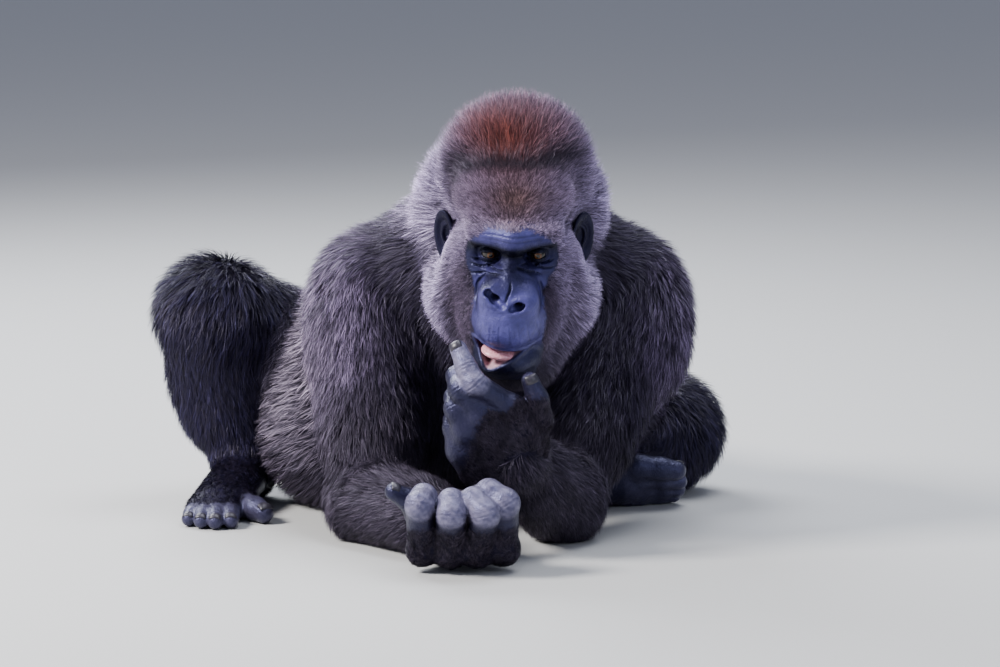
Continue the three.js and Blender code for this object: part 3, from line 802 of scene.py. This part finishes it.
def skin_colour(p, q):
    """The bare skin's colour, with painted shade and a painted blue reflection in it, at points of the skin
    and in the head's frame.
    """
    x, y, z = q.T
    patchy = 0.5 + 0.5 * waves(p, 18, 5)
    # Dark skin, paler and bluer on the front of the face; the blue is partly a painted reflection.
    dark = mix((0.005, 0.004, 0.010), (0.012, 0.010, 0.024), patchy[:, None])
    pale = mix((0.026, 0.024, 0.082), (0.052, 0.047, 0.160), patchy[:, None])
    on_head = norm((p - HEAD_AT) / (150, 250, 240)) < 1
    front = step(-y, 88, 104) * on_head
    colour = mix(dark, pale, front[:, None])
    # Brightness by height on the face: nearly black from 33 to 46, painted shadow under the brow; darker from
    # 2 to 24, painted shade between the eyes; brightest on the upper lip and dark on the lower lip and chin.
    # The sides are darker below the brow.
    heights = (-128, -112, -102, -94, -70, -40, -12, 2, 24, 33, 46, 54, 68)
    shade = np.interp(z, heights, (0.15, 0.18, 0.5, 1.1, 1.7, 1.3, 1.25, 0.5, 0.34, 0.04, 0.03, 0.8, 1.1))
    side = step(np.abs(x - 4), 34, 62)
    # Painted shade on the bridge of the nose, which also takes out a highlight there.
    bridge = bump_at(x - 3, 13) * bump_at(z - 17, 17)
    colour *= (1 + (shade * (1 - 0.5 * side * (z < 50)) * (1 - 0.65 * bridge) - 1) * front)[:, None]
    # Painted shade in the creases and painted light on the ridges beside them, from the face's relief.
    colour *= np.clip(1 + 0.55 * face_relief(q), 0.15, 1.3)[:, None]
    # Painted shade: the lids and the skin round each eye nearly black, in the brow's shadow.
    for eye in EYES.values():
        lid_shade = bump_at(np.maximum(norm(q[:, [0, 2]] - eye[[0, 2]]) - 7, 0), 6)
        colour *= (1 - 0.93 * lid_shade * front)[:, None]
    # Painted shade: darker deep inside each nostril.
    for inner, outer in NOSTRILS:
        hole, _ = path_distance(q, [mix(inner, outer, 0.5) + (0, 30, 6), mix(inner, outer, 0.5), outer])
        colour *= (1 - 0.9 * bump_at(np.maximum(hole - 2, 0), 4))[:, None]
    lining = step(1.5 - mouth_opening(q), 0, 2.5) * on_head * (y < -100)
    # The lining is pale pink at the lips and dark further in: painted shade inside the mouth.
    pink = mix((0.70, 0.42, 0.48), (0.20, 0.050, 0.058), step(y, -165, -142)[:, None])
    colour = mix(colour, pink, lining[:, None])
    blotchy = np.clip(patchy + 0.5 * waves(p, 7, 8), 0, 1)
    toes = step(70 - p[:, 2], 0, 30) * ((p[:, 0] < -330) | (p[:, 0] > 185)) * (p[:, 1] < 0)
    colour = mix(colour, (0.050, 0.046, 0.080), (toes * (0.35 + 0.4 * blotchy))[:, None])
    knuckle = mix((0.050, 0.046, 0.085), (0.17, 0.155, 0.225), blotchy[:, None])
    # Pale pads on the fingers, only above a lowest height; below it the fingers keep the dark skin, which
    # also paints the shade near the ground.
    for path, reach, lowest in PADS:
        near = step(reach - path_distance(p, path)[0], 0, 7) * step(p[:, 2], lowest, lowest + 14)
        colour = mix(colour, knuckle, near[:, None])
    return colour


def gloss_of(q):
    """How glossy the skin is: least in the hollow round the eyes and on the ears."""
    x, y, z = q.T
    round_eyes = bump_at(z - 28, 26) * bump_at(x - 4, 70) * step(-y, 80, 100)
    ears = step(np.abs(x), 72, 80) * (norm(q) < 190)
    return 0.62 - 0.5 * round_eyes - 0.12 * step(z, 40, 56) - 0.35 * ears


# ---------- materials ----------
def set_values(node, values):
    """Sets a node's inputs, and otherwise its settings, by name, with _ for a space in an input's name."""
    for name, value in values.items():
        label = name.replace("_", " ")
        if label in node.inputs:
            node.inputs[label].default_value = value
        else:
            setattr(node, name, value)


def new_material(name, **values):
    """A material with these values in its shader, its tree of nodes and the shader."""
    material = bpy.data.materials.new(name)
    material.use_nodes = True
    shader = material.node_tree.nodes["Principled BSDF"]
    set_values(shader, values)
    return material, material.node_tree, shader


def new_node(tree, kind, **values):
    made = tree.nodes.new("ShaderNode" + kind)
    set_values(made, values)
    return made


def link(tree, *links):
    """Joins nodes, each link being a node, its output, another node and that one's input."""
    for a, out, b, into in links:
        tree.links.new(a.outputs[out], b.inputs[into])


def set_stops(ramp, stops):
    """Gives a colour ramp its stops, as pairs of a place and a colour."""
    elements = ramp.color_ramp.elements
    for i, (place, colour) in enumerate(stops):
        stop = elements[i] if i < 2 else elements.new(place)
        stop.position = place
        stop.color = (*colour, 1)


def tinted(tree, shader, scale, low, high):
    """Colours a shader by the tint attribute, made a little lighter and darker by noise."""
    colour = new_node(tree, "Attribute", attribute_name="tint")
    place = new_node(tree, "TexCoord")
    noise = new_node(tree, "TexNoise", Scale=scale, Detail=6.0)
    ramp = new_node(tree, "MapRange", To_Min=low, To_Max=high)
    shaded = new_node(tree, "VectorMath", operation="SCALE")
    link(tree, (place, "Object", noise, "Vector"), (noise, "Fac", ramp, "Value"),
         (colour, "Color", shaded, 0), (ramp, "Result", shaded, "Scale"),
         (shaded, "Vector", shader, "Base Color"))
    return place


def hair_material():
    material, tree, shader = new_material("hair", Roughness=0.5, Specular_IOR_Level=0.35,
                                          Specular_Tint=(0.80, 0.72, 1.0, 1))
    tinted(tree, shader, 90.0, 0.6, 1.4)
    return material


def skin_material():
    material, tree, shader = new_material("skin", Roughness=0.37, Specular_Tint=(0.50, 0.52, 0.98, 1))
    place = tinted(tree, shader, 130.0, 0.5, 1.5)
    gloss = new_node(tree, "Attribute", attribute_name="gloss")
    pores = new_node(tree, "TexVoronoi", Scale=420.0)
    folds = new_node(tree, "TexNoise", Scale=110.0, Detail=8.0, Roughness=0.6)
    fine = new_node(tree, "Bump", Strength=0.5, Distance=0.0008)
    broad = new_node(tree, "Bump", Strength=0.8, Distance=0.0020)
    link(tree, (gloss, "Fac", shader, "Specular IOR Level"), (place, "Object", pores, "Vector"),
         (place, "Object", folds, "Vector"), (pores, "Distance", fine, "Height"),
         (folds, "Fac", broad, "Height"), (fine, "Normal", broad, "Normal"),
         (broad, "Normal", shader, "Normal"))
    return material


def grained_material(name, scale, low, high, roughness, relief):
    """A material that noise of a scale per metre makes darker and lighter, and raises by relief in metres."""
    material, tree, shader = new_material(name, Roughness=roughness)
    place = new_node(tree, "TexCoord")
    grain = new_node(tree, "TexNoise", Scale=scale, Detail=5.0)
    shade = new_node(tree, "ValToRGB")
    set_stops(shade, ((0.3, low), (0.7, high)))
    bump = new_node(tree, "Bump", Strength=0.6, Distance=relief)
    link(tree, (place, "Object", grain, "Vector"), (grain, "Fac", shade, "Fac"),
         (shade, "Color", shader, "Base Color"), (grain, "Fac", bump, "Height"),
         (bump, "Normal", shader, "Normal"))
    return material


def eye_material():
    """An iris and a pupil, by the distance from the eyeball's Y axis."""
    material, tree, shader = new_material("eye", Roughness=0.08, Specular_IOR_Level=0.35, Coat_Weight=0.2,
                                          Coat_Roughness=0.03)
    place = new_node(tree, "TexCoord")
    apart = new_node(tree, "SeparateXYZ")
    across = new_node(tree, "CombineXYZ")
    far = new_node(tree, "VectorMath", operation="LENGTH")
    scaled = new_node(tree, "MapRange", From_Max=EYE_RADIUS * MM)
    ramp = new_node(tree, "ValToRGB")
    pupil, rim, white = (0.002, 0.002, 0.002), (0.006, 0.004, 0.003), (0.012, 0.008, 0.006)
    set_stops(ramp, ((0.0, pupil), (0.22, pupil), (0.26, (0.12, 0.045, 0.010)), (0.44, (0.07, 0.024, 0.006)),
                     (0.50, rim), (0.8, white)))
    noise = new_node(tree, "TexNoise", Scale=900.0, Detail=3.0)
    mixed = new_node(tree, "Mix", data_type="RGBA", blend_type="MULTIPLY", Factor=0.4)
    link(tree, (place, "Object", apart, "Vector"), (apart, "X", across, "X"), (apart, "Z", across, "Y"),
         (across, "Vector", far, 0), (far, "Value", scaled, "Value"), (scaled, "Result", ramp, "Fac"),
         (place, "Object", noise, "Vector"), (ramp, "Color", mixed, 6), (noise, "Color", mixed, 7),
         (mixed, 2, shader, "Base Color"))
    return material


# ---------- tufts ----------
UNDER_SKIN = 0.4  # how far a hair's root lies under the skin
LOWEST = 0.6  # no hair goes nearer to the floor
STEEPEST = 0.93  # the most that a hair rises, as a share of its length
TAPER = 0.75  # how much of its width a hair has lost near its tip
DARK_TIP = 0.18  # how much of the tip's colour a dark hair takes on
PATCH = (0.0015, 0.003)  # half the width and the whole length of a hair in OFBake


def wrap_round(a, b):
    """A function that unrolls points on a cylinder round the line from a to b, both ways from 0 to 1."""
    a, b = np.array(a, float), np.array(b, float)

    def unrolled(p):
        along = unit(b - a)
        out = unit(np.cross(along, (0.31, 0.9, 0.2)))
        angle = np.arctan2((p - a) @ np.cross(along, out), (p - a) @ out)
        length = (p - a) @ along
        turned = angle / (2 * np.pi) + 0.5
        return np.stack([0.01 + 0.98 * turned, 0.01 + 0.98 * (length - length.min()) / np.ptp(length)], 1)

    return unrolled


def tint_vertices(made, colours):
    """Puts a linear colour for each vertex in the attribute that the materials read."""
    values = np.ones((len(colours), 4), np.float32)
    values[:, :3] = colours
    tint = made.data.color_attributes.new("tint", "FLOAT_COLOR", "POINT")
    tint.data.foreach_set("color", values.ravel())


def sow(skin, faces, count, density):
    """Scatters the roots of tufts over some of the skin's faces, and returns what reads its values there."""
    corners = skin["points"][faces]
    area = norm(np.cross(corners[:, 1] - corners[:, 0], corners[:, 2] - corners[:, 0])) / 2
    chance = area * density(skin["depth"][faces].mean(1))
    chance *= corners[:, :, 2].mean(1) > 2
    pick = RANDOM.choice(len(faces), count, p=chance / chance.sum())
    u = RANDOM.random((count, 2))
    u = np.where((u.sum(1) > 1)[:, None], 1 - u, u)
    weights = np.stack([1 - u.sum(1), u[:, 0], u[:, 1]], 1)
    return lambda values: np.einsum("ni,nij->nj", weights, values[faces[pick]])


def tufts(name, skin, faces, count, width, wrap, look, material):
    """A coat piece: count tufts of hairs over some of the skin's faces."""
    hairs, segments = look["hairs"], look["segments"]
    at = sow(skin, faces, count, look["density"])
    root, normal, lie = at(skin["points"]), directions(at(skin["normals"])), at(skin["lie"])
    depth = at(skin["depth"][:, None])[:, 0]
    lie = directions(lie - normal * dot(lie, normal)[:, None])
    across = np.cross(normal, lie)

    n = count * hairs
    tuft = np.repeat(np.arange(count), hairs)
    apart = RANDOM.normal(0, look["clump"], (n, 2))
    turn = np.repeat(RANDOM.normal(0, look["turn"], count), hairs) + RANDOM.normal(0, look["turn"] * 0.5, n)
    rise = np.repeat(RANDOM.uniform(*look["rise"], count), hairs) * RANDOM.uniform(0.75, 1.1, n)
    length = look["length"](depth[tuft]) * RANDOM.uniform(*look["ragged"], n)
    height = np.minimum(depth[tuft] * rise, length * STEEPEST)
    up, lie, across = normal[tuft], lie[tuft], across[tuft]
    way = lie * np.cos(turn)[:, None] + across * np.sin(turn)[:, None]
    side = np.cross(up, way)
    base = root[tuft] + lie * apart[:, :1] + across * apart[:, 1:] - up * UNDER_SKIN
    run = np.sqrt(length ** 2 - height ** 2)
    twist = RANDOM.normal(0, 0.6, n)
    wide = side * np.cos(twist)[:, None] + up * np.sin(twist)[:, None]
    wide *= (width * RANDOM.uniform(0.6, 1.2, n) / 2)[:, None]
    bend = side * (RANDOM.normal(0, 0.06, n) * length)[:, None]
    rows = []
    for t in (i / segments for i in range(segments)):
        high = height * (1 - (1 - t) ** 1.7)
        centre = base + way * (run * t)[:, None] + up * high[:, None] + bend * t * t
        rows += [centre - wide * (1 - TAPER * t), centre + wide * (1 - TAPER * t)]
    rows.append(base + way * run[:, None] + up * height[:, None] + bend
                - (apart[:, :1] * lie + apart[:, 1:] * across) * 0.5)
    points = np.stack(rows, 1)
    points[:, :, 2] = np.maximum(points[:, :, 2], LOWEST)
    each = len(rows)
    strip = [t for a in range(0, each - 3, 2) for t in ((a, a + 1, a + 3), (a, a + 3, a + 2))]
    strip.append((each - 3, each - 2, each - 1))
    triangles = (np.arange(n)[:, None, None] * each + np.array(strip)[None]).reshape(-1, 3)
    made = mesh_object(name, points.reshape(-1, 3), triangles, material)

    streak = np.clip(1 + look["streak"] * (0.75 * waves(root, 9, 31) + 0.55 * waves(root, 24, 32)), 0.25, 2)
    dark = np.repeat(RANDOM.uniform(0.6, 1.3, count) * streak, hairs) * RANDOM.uniform(*look["contrast"], n)
    pale = np.where(RANDOM.random(n) < look["pale"], 1.0, DARK_TIP)[:, None]
    along = np.append(np.repeat(np.arange(segments), 2) / segments, 1.0)
    at_root, at_tip = at(skin["root"])[tuft], at(skin["tip"])[tuft]
    colours = [(at_root + (at_tip - at_root) * t ** 1.4 * pale) * dark[:, None] for t in along]
    tint_vertices(made, np.stack(colours, 1).reshape(-1, 3))
    aside = np.append(np.tile((-PATCH[0], PATCH[0]), segments), 0)
    patch = wrap(root)[tuft][:, None] + np.stack([aside, PATCH[1] * (along - 0.5)], 1)
    layer = made.data.uv_layers.new(name="OFBake")
    layer.data.foreach_set("uv", patch.reshape(-1, 2)[triangles.ravel()].astype(np.float32).ravel())
    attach(made, "root")
    return made


# ---------- the skin ----------
def part_is(part, *starts):
    """Where the nearest part is one whose name starts so."""
    return np.isin(part, [i for i, name in enumerate(NAMES) if name.startswith(starts)])


def finger_parts(side):
    return ["thumb_" + side, *[f"{name}_finger_{side}" for name in FINGERS]]


def toe_parts(side):
    return [f"toe_{i}_{side}" for i in range(1, 6)]


def thin_hair(p, normals, part):
    """The depth of the thin hair on the backs of the hands and feet."""
    x, _, z = p.T
    forward = step(-normals[:, 1], -0.2, 0.3)
    raised = part_is(part, "hand_left", "thumb_left") * forward
    raised = raised * step(x - 0.35 * (z - 180), -56, -12) * step(248 - z, 0, 30)
    curled = part_is(part, "hand_right", *finger_parts("right")[1:]) * forward * step(74 - z, 0, 16)
    feet = part_is(part, "foot") * step(normals[:, 2], 0, 0.5)
    return 4.5 * raised + 3.5 * curled + 5 * feet


def coat_depth(points, normals, part, q, edges):
    """The coat's depth at the skin's points, without any on the bare face and ears."""
    filled, _ = in_chunks(lambda p: body_at(p, 1.0, NO_FLOOR), points)
    depth = spread(np.clip(-filled, 0, DEEPEST), edges, 4)
    depth = np.maximum(depth, spread(thin_hair(points, normals, part), edges, 8))
    on_head = part == NAMES.index("head")
    before_ear = np.column_stack([np.abs(q[:, 0]) - EAR_AT[0] - 4, q[:, 1] - EAR_AT[1] + 14,
                                  (q[:, 2] - EAR_AT[2]) / 1.5])
    most = 4 + 0.7 * np.maximum(norm(before_ear) - 26, 0)
    depth = np.where(on_head, np.minimum(np.maximum(depth, 4), most), depth)
    depth *= 1 - 0.6 * bareness(q, 22) * on_head
    ears = spread(part_is(part, "ear") * 1.0, edges, 3)
    return depth * ((1 - bareness(q) * on_head) * (1 - np.minimum(1.5 * ears, 1)))


def dress():
    """The skin's points, faces and what the coat needs at each point."""
    points, faces, normals = make_skin()
    edges = np.unique(edge_ends(faces), axis=0)
    _, part = in_chunks(lambda p: body_at(p, 0.0, NO_FLOOR), points)
    lie = np.zeros_like(points)
    for i in np.unique(part):
        lie[part == i] = lie_of(NAMES[i], points[part == i])
    q = to_head(points)
    root, tip = coat_colours(points, q, spread(part_is(part, "thigh", "shin", "foot") * 1.0, edges, 8))
    return {"points": points, "faces": faces, "normals": normals, "part": part, "root": root, "tip": tip,
            "lie": spread(directions(lie), edges, 25), "depth": coat_depth(points, normals, part, q, edges),
            "bare": skin_colour(points, q), "gloss": gloss_of(q)}


def skin_object(skin):
    """The skin, which is dark under the coat and replaces every node of flesh."""
    made = mesh_object("skin", skin["points"], skin["faces"], skin_material())
    hairy = step(skin["depth"], 1.0, 4.0)
    tint_vertices(made, skin["bare"] * (1 - hairy)[:, None] + skin["root"] * hairy[:, None])
    gloss = made.data.attributes.new("gloss", "FLOAT", "POINT")
    gloss.data.foreach_set("value", (skin["gloss"] * (1 - 0.8 * hairy)).astype(np.float32))
    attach(made, "root")
    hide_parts(*[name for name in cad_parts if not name.startswith(("eye_", "tongue"))])


skin = dress()
skin_object(skin)
part = skin["part"][skin["faces"][:, 0]]
middle = skin["points"][skin["faces"]].mean(1)
depth_at_face = skin["depth"][skin["faces"]].mean(1)
aside, behind, above = to_head(middle).T
on_head = part_is(part, "head", "ear")
crown = on_head & (above > 60) & (depth_at_face > 12)
nape = on_head & ~crown & (behind > 25)
cheek = on_head & ~crown & ~nape & (depth_at_face > 11)
face = on_head & ~crown & ~nape & ~cheek
trunk = part_is(part, "trunk")
high = middle[:, 2] > 190

# How the tufts of a kind of coat grow, with lengths in mm and d the coat's depth.
LONG = {
    "hairs": 3,  # in a tuft
    "segments": 2,  # of a hair
    "density": lambda d: step(d, 2, 10),
    "length": lambda d: 1.6 * d + 6,
    "ragged": (0.7, 1.15),  # longest and shortest hair as shares of that length
    "rise": (0.45, 0.95),  # how high the tips stand, as shares of the depth
    "clump": 1.3,  # how far a tuft's roots spread
    "turn": 0.16,  # how far tufts turn from the lie
    "pale": 0.45,  # the share of hairs with pale tips
    "streak": 1.0,  # how strongly patches of the coat differ
    "contrast": (0.6, 1.45),  # and neighbouring hairs
}
STANDING = {**LONG, "density": lambda d: step(d, 2, 8), "length": lambda d: 1.4 * d + 3,
            "ragged": (0.55, 1.3), "rise": (0.6, 1.28), "clump": 1.1, "turn": 0.3, "pale": 0.5,
            "streak": 0.45, "contrast": (0.4, 1.7)}
CHEEKS = {**LONG, "density": lambda d: step(d, 1, 5), "length": lambda d: 1.6 * d + 4, "ragged": (0.65, 1.2),
          "rise": (0.5, 1.0), "clump": 1.0, "turn": 0.14, "pale": 0.5, "streak": 0.5, "contrast": (0.4, 1.7)}
FINE = {**LONG, "hairs": 5, "segments": 1, "rise": (0.4, 0.9)}
BRIEF = {**FINE, "density": lambda d: step(d, 0.6, 3), "length": lambda d: 1.2 * d + 3.5,
         "ragged": (0.6, 1.2), "clump": 0.9, "turn": 0.25, "streak": 0.3, "contrast": (0.35, 1.8)}
SMALL = {**FINE, "density": lambda d: step(d, 0.5, 4), "length": lambda d: 1.5 * d + 4, "clump": 1.0,
         "turn": 0.3, "pale": 0.6}
AMOUNT, WIDENING = ((1.0, 1.0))

round_head = wrap_round(from_head((0, 0, -150)), from_head((0, 0, 200)))
round_back = wrap_round((-20, -150, 200), (-60, 300, 170))
PIECES = [  # name after coat_, faces, tufts, width of a hair, wrap, look and slot
    ("crown", crown, 16000, 0.8, round_head, STANDING, "coat_head"),
    ("nape", nape, 7500, 1.0, round_head, LONG, "coat_head"),
    ("cheek_right", cheek & (aside < 0), 8500, 0.8, round_head, CHEEKS, "coat_head"),
    ("cheek_left", cheek & (aside >= 0), 8500, 0.8, round_head, CHEEKS, "coat_head"),
    ("face", face, 29000, 0.55, round_head, BRIEF, "coat_head"),
    ("neck", part_is(part, "neck"), 11000, 1.1, round_head, LONG, "coat"),
    ("back", trunk & high, 13500, 1.2, round_back, LONG, "coat"),
    ("belly", trunk & ~high, 9000, 1.2, round_back, LONG, "coat"),
]
for side, _ in SIDES:
    arm, leg = ARMS[side], LEGS[side]
    for name, more, count, width, start, end, look in (
        ("upper_arm_" + side, (), 13000, 1.1, arm["shoulder"], arm["elbow"], LONG),
        ("forearm_" + side, (), 7000, 1.0, arm["elbow"], arm["wrist"], LONG),
        ("thigh_" + side, (), 7000, 1.1, leg["hip"], leg["knee"], LONG),
        ("shin_" + side, (), 6000, 1.1, leg["knee"], leg["ankle"], LONG),
        ("foot_" + side, toe_parts(side), 3000, 0.7, leg["heel"], leg["ball"], SMALL),
        ("hand_" + side, finger_parts(side), 5000, 0.6, arm["wrist"], arm["knuckles"][1], SMALL),
    ):
        PIECES.append((name, part_is(part, name, *more), count, width, wrap_round(start, end), look, "coat"))
hair = hair_material()
for name, chosen, count, width, wrap, look, slot in PIECES:
    chosen, count = skin["faces"][chosen], round(count * AMOUNT)
    tufts("coat_" + name, skin, chosen, count, width * WIDENING, wrap, look, hair)


# ---------- eyes, nails and tongue ----------
def round_piece(name, centre, radii, material, turn, rings=32, bulge=0.0):
    """A ball of rings round its Y axis, with a cornea's bulge on its front."""
    polar = np.linspace(0, np.pi, rings + 1)[1:-1]
    around = np.linspace(0, 2 * np.pi, 2 * rings, endpoint=False)
    out = 1 + bulge * bump_at(polar, 0.5)
    wide = np.sin(polar) * out
    shell = np.stack([np.outer(wide, np.cos(around)), np.outer(-np.cos(polar) * out, np.ones_like(around)),
                      np.outer(wide, np.sin(around))], -1).reshape(-1, 3)
    points = np.concatenate([[(0, -1 - bulge, 0)], shell, [(0, 1, 0)]]) * radii
    n, rows = len(around), len(polar)
    at = lambda i, j: 1 + i * n + j % n
    faces = [(0, at(0, j), at(0, j + 1)) for j in range(n)]
    for i in range(rows - 1):
        for j in range(n):
            faces += [(at(i, j), at(i + 1, j), at(i + 1, j + 1)), (at(i, j), at(i + 1, j + 1), at(i, j + 1))]
    faces += [(len(points) - 1, at(rows - 1, j + 1), at(rows - 1, j)) for j in range(n)]
    made = mesh_object(name, points, np.array(faces), material)
    made.matrix_world = Matrix.Translation(Vector(centre) * MM) @ turn
    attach(made, "root")
    return made


def nail(name, before, tip, radius, up, material):
    """A curved plate over the end of a finger or toe, whose bone runs from before to tip, on its side up."""
    along = toward(before, tip)
    up = np.array(up, float)
    up = unit(up - along * (up @ along))
    across = np.cross(along, up)
    cells = 8
    row = cells + 1
    u, v = np.meshgrid(np.linspace(-1, 1, row), np.linspace(-1, 1, row), indexing="ij")
    angle = 0.85 * v
    bend = 0.22 + 0.62 * u * np.sqrt(1 - 0.35 * v * v)
    thick = 0.3 + 0.8 * np.sqrt(np.clip(1 - v * v, 0, 1)) * np.sqrt(np.clip(1.05 - u * u, 0, 1))
    points = np.concatenate([(np.asarray(tip, float) + (r * np.sin(bend))[..., None] * along
                              + (r * np.cos(bend) * np.cos(angle))[..., None] * up
                              + (r * np.sin(angle))[..., None] * across).reshape(-1, 3)
                             for r in (radius + thick, radius - 1.5 + 0 * u)])
    under = row * row
    faces = []
    for a in (i * row + j for i in range(cells) for j in range(cells)):
        b, c, d = a + 1, a + row + 1, a + row
        faces += [(a, b, c), (a, c, d), (under + a, under + c, under + b), (under + a, under + d, under + c)]
    rim = [*range(row), *range(2 * row - 1, under, row), *range(under - 2, under - row - 1, -1),
           *range(under - 2 * row, 0, -row)]
    for a, b in zip(rim, rim[1:] + rim[:1]):
        faces += [(b, a, under + a), (b, under + a, under + b)]
    made = mesh_object(name, points, np.array(faces), material)
    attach(made, "root")


head_turn = HEAD_TURN.to_matrix().to_4x4()
for side, centre in EYES.items():
    gaze = head_turn @ Matrix.Rotation(math.radians(12 if side == "right" else 3), 4, "Z")
    radii = (EYE_RADIUS,) * 3
    eyeball = round_piece("eyeball_" + side, from_head(centre), radii, eye_material(), gaze, bulge=0.06)
    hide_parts("eye_" + side)

horn = grained_material("nail", 260.0, (0.010, 0.009, 0.014), (0.035, 0.030, 0.045), 0.38, 0.0003)
for side, _ in SIDES:
    arm = ARMS[side]
    for name, bones in zip(FINGERS, arm["fingers"]):
        first, last = toward(bones[0], bones[1]), toward(bones[1], bones[2])
        nail(f"{name}_nail_{side}", bones[1], bones[2], arm["radii"][3], first - last * (first @ last), horn)
    nail("thumb_nail_" + side, *arm["thumb"][2:], THUMB_RADII[-1], arm["thumb_up"], horn)
for name, (path, radius) in TOE_PATHS.items():
    toe_up = LEGS[name.rsplit("_", 1)[1]]["toe_up"]
    nail(name.replace("toe_", "toe_nail_"), path[1], path[2], radius - 2, toe_up, horn)

mouth = grained_material("mouth", 320.0, (0.50, 0.17, 0.20), (0.78, 0.42, 0.50), 0.28, 0.0006)
tongue = round_piece("tongue_flesh", from_head((-15, -160, -105)), (25, 24, 8), mouth,
                     head_turn @ Matrix.Rotation(math.radians(8), 4, "Y"))
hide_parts("tongue")

# ---------- floor, light and camera, in metres ----------
bpy.ops.mesh.primitive_plane_add(size=44)
floor = bpy.context.object
floor.name = "floor"
floor.data.materials.append(new_material("floor", Base_Color=(0.42, 0.42, 0.41, 1), Roughness=0.85)[0])

world = bpy.data.worlds.new("studio")
bpy.context.scene.world = world
world.use_nodes = True
set_values(world.node_tree.nodes["Background"], {"Color": (0.70, 0.76, 1.0, 1), "Strength": 0.5})


def area_light(name, place, size, power, colour):
    """A soft light at place, pointing at the animal."""
    light = bpy.data.lights.new(name, "AREA")
    light.shape = "RECTANGLE"
    light.size, light.size_y = size
    light.energy = power
    light.color = colour
    made = bpy.data.objects.new(name, light)
    made.location = place
    made.rotation_euler = (Vector((0, -0.1, 0.3)) - Vector(place)).to_track_quat("-Z", "Y").to_euler()
    bpy.context.scene.collection.objects.link(made)


area_light("key", (-3.0, -1.5, 2.9), (1.1, 1.1), 430, (1.0, 0.97, 0.95))
area_light("fill", (2.4, -3.0, 1.6), (2.2, 2.2), 34, (0.80, 0.86, 1.0))
area_light("rim", (-1.4, 2.4, 2.6), (2.4, 1.4), 220, (0.90, 0.93, 1.0))
area_light("top", (0.8, 0.2, 3.4), (2.0, 2.0), 120, (0.90, 0.93, 1.0))

camera = bpy.data.objects.new("camera", bpy.data.cameras.new("camera"))
camera.data.sensor_width = 36
camera.data.lens = 168.84  # frames the animal as the photo does
camera.data.clip_end = 60
target, distance, elevation = Vector((0, 0, 0.257)), 7.0, math.radians(8)
camera.location = target + Vector((0, -math.cos(elevation), math.sin(elevation))) * distance
camera.rotation_euler = (target - camera.location).to_track_quat("-Z", "Y").to_euler()
bpy.context.scene.collection.objects.link(camera)
bpy.context.scene.camera = camera
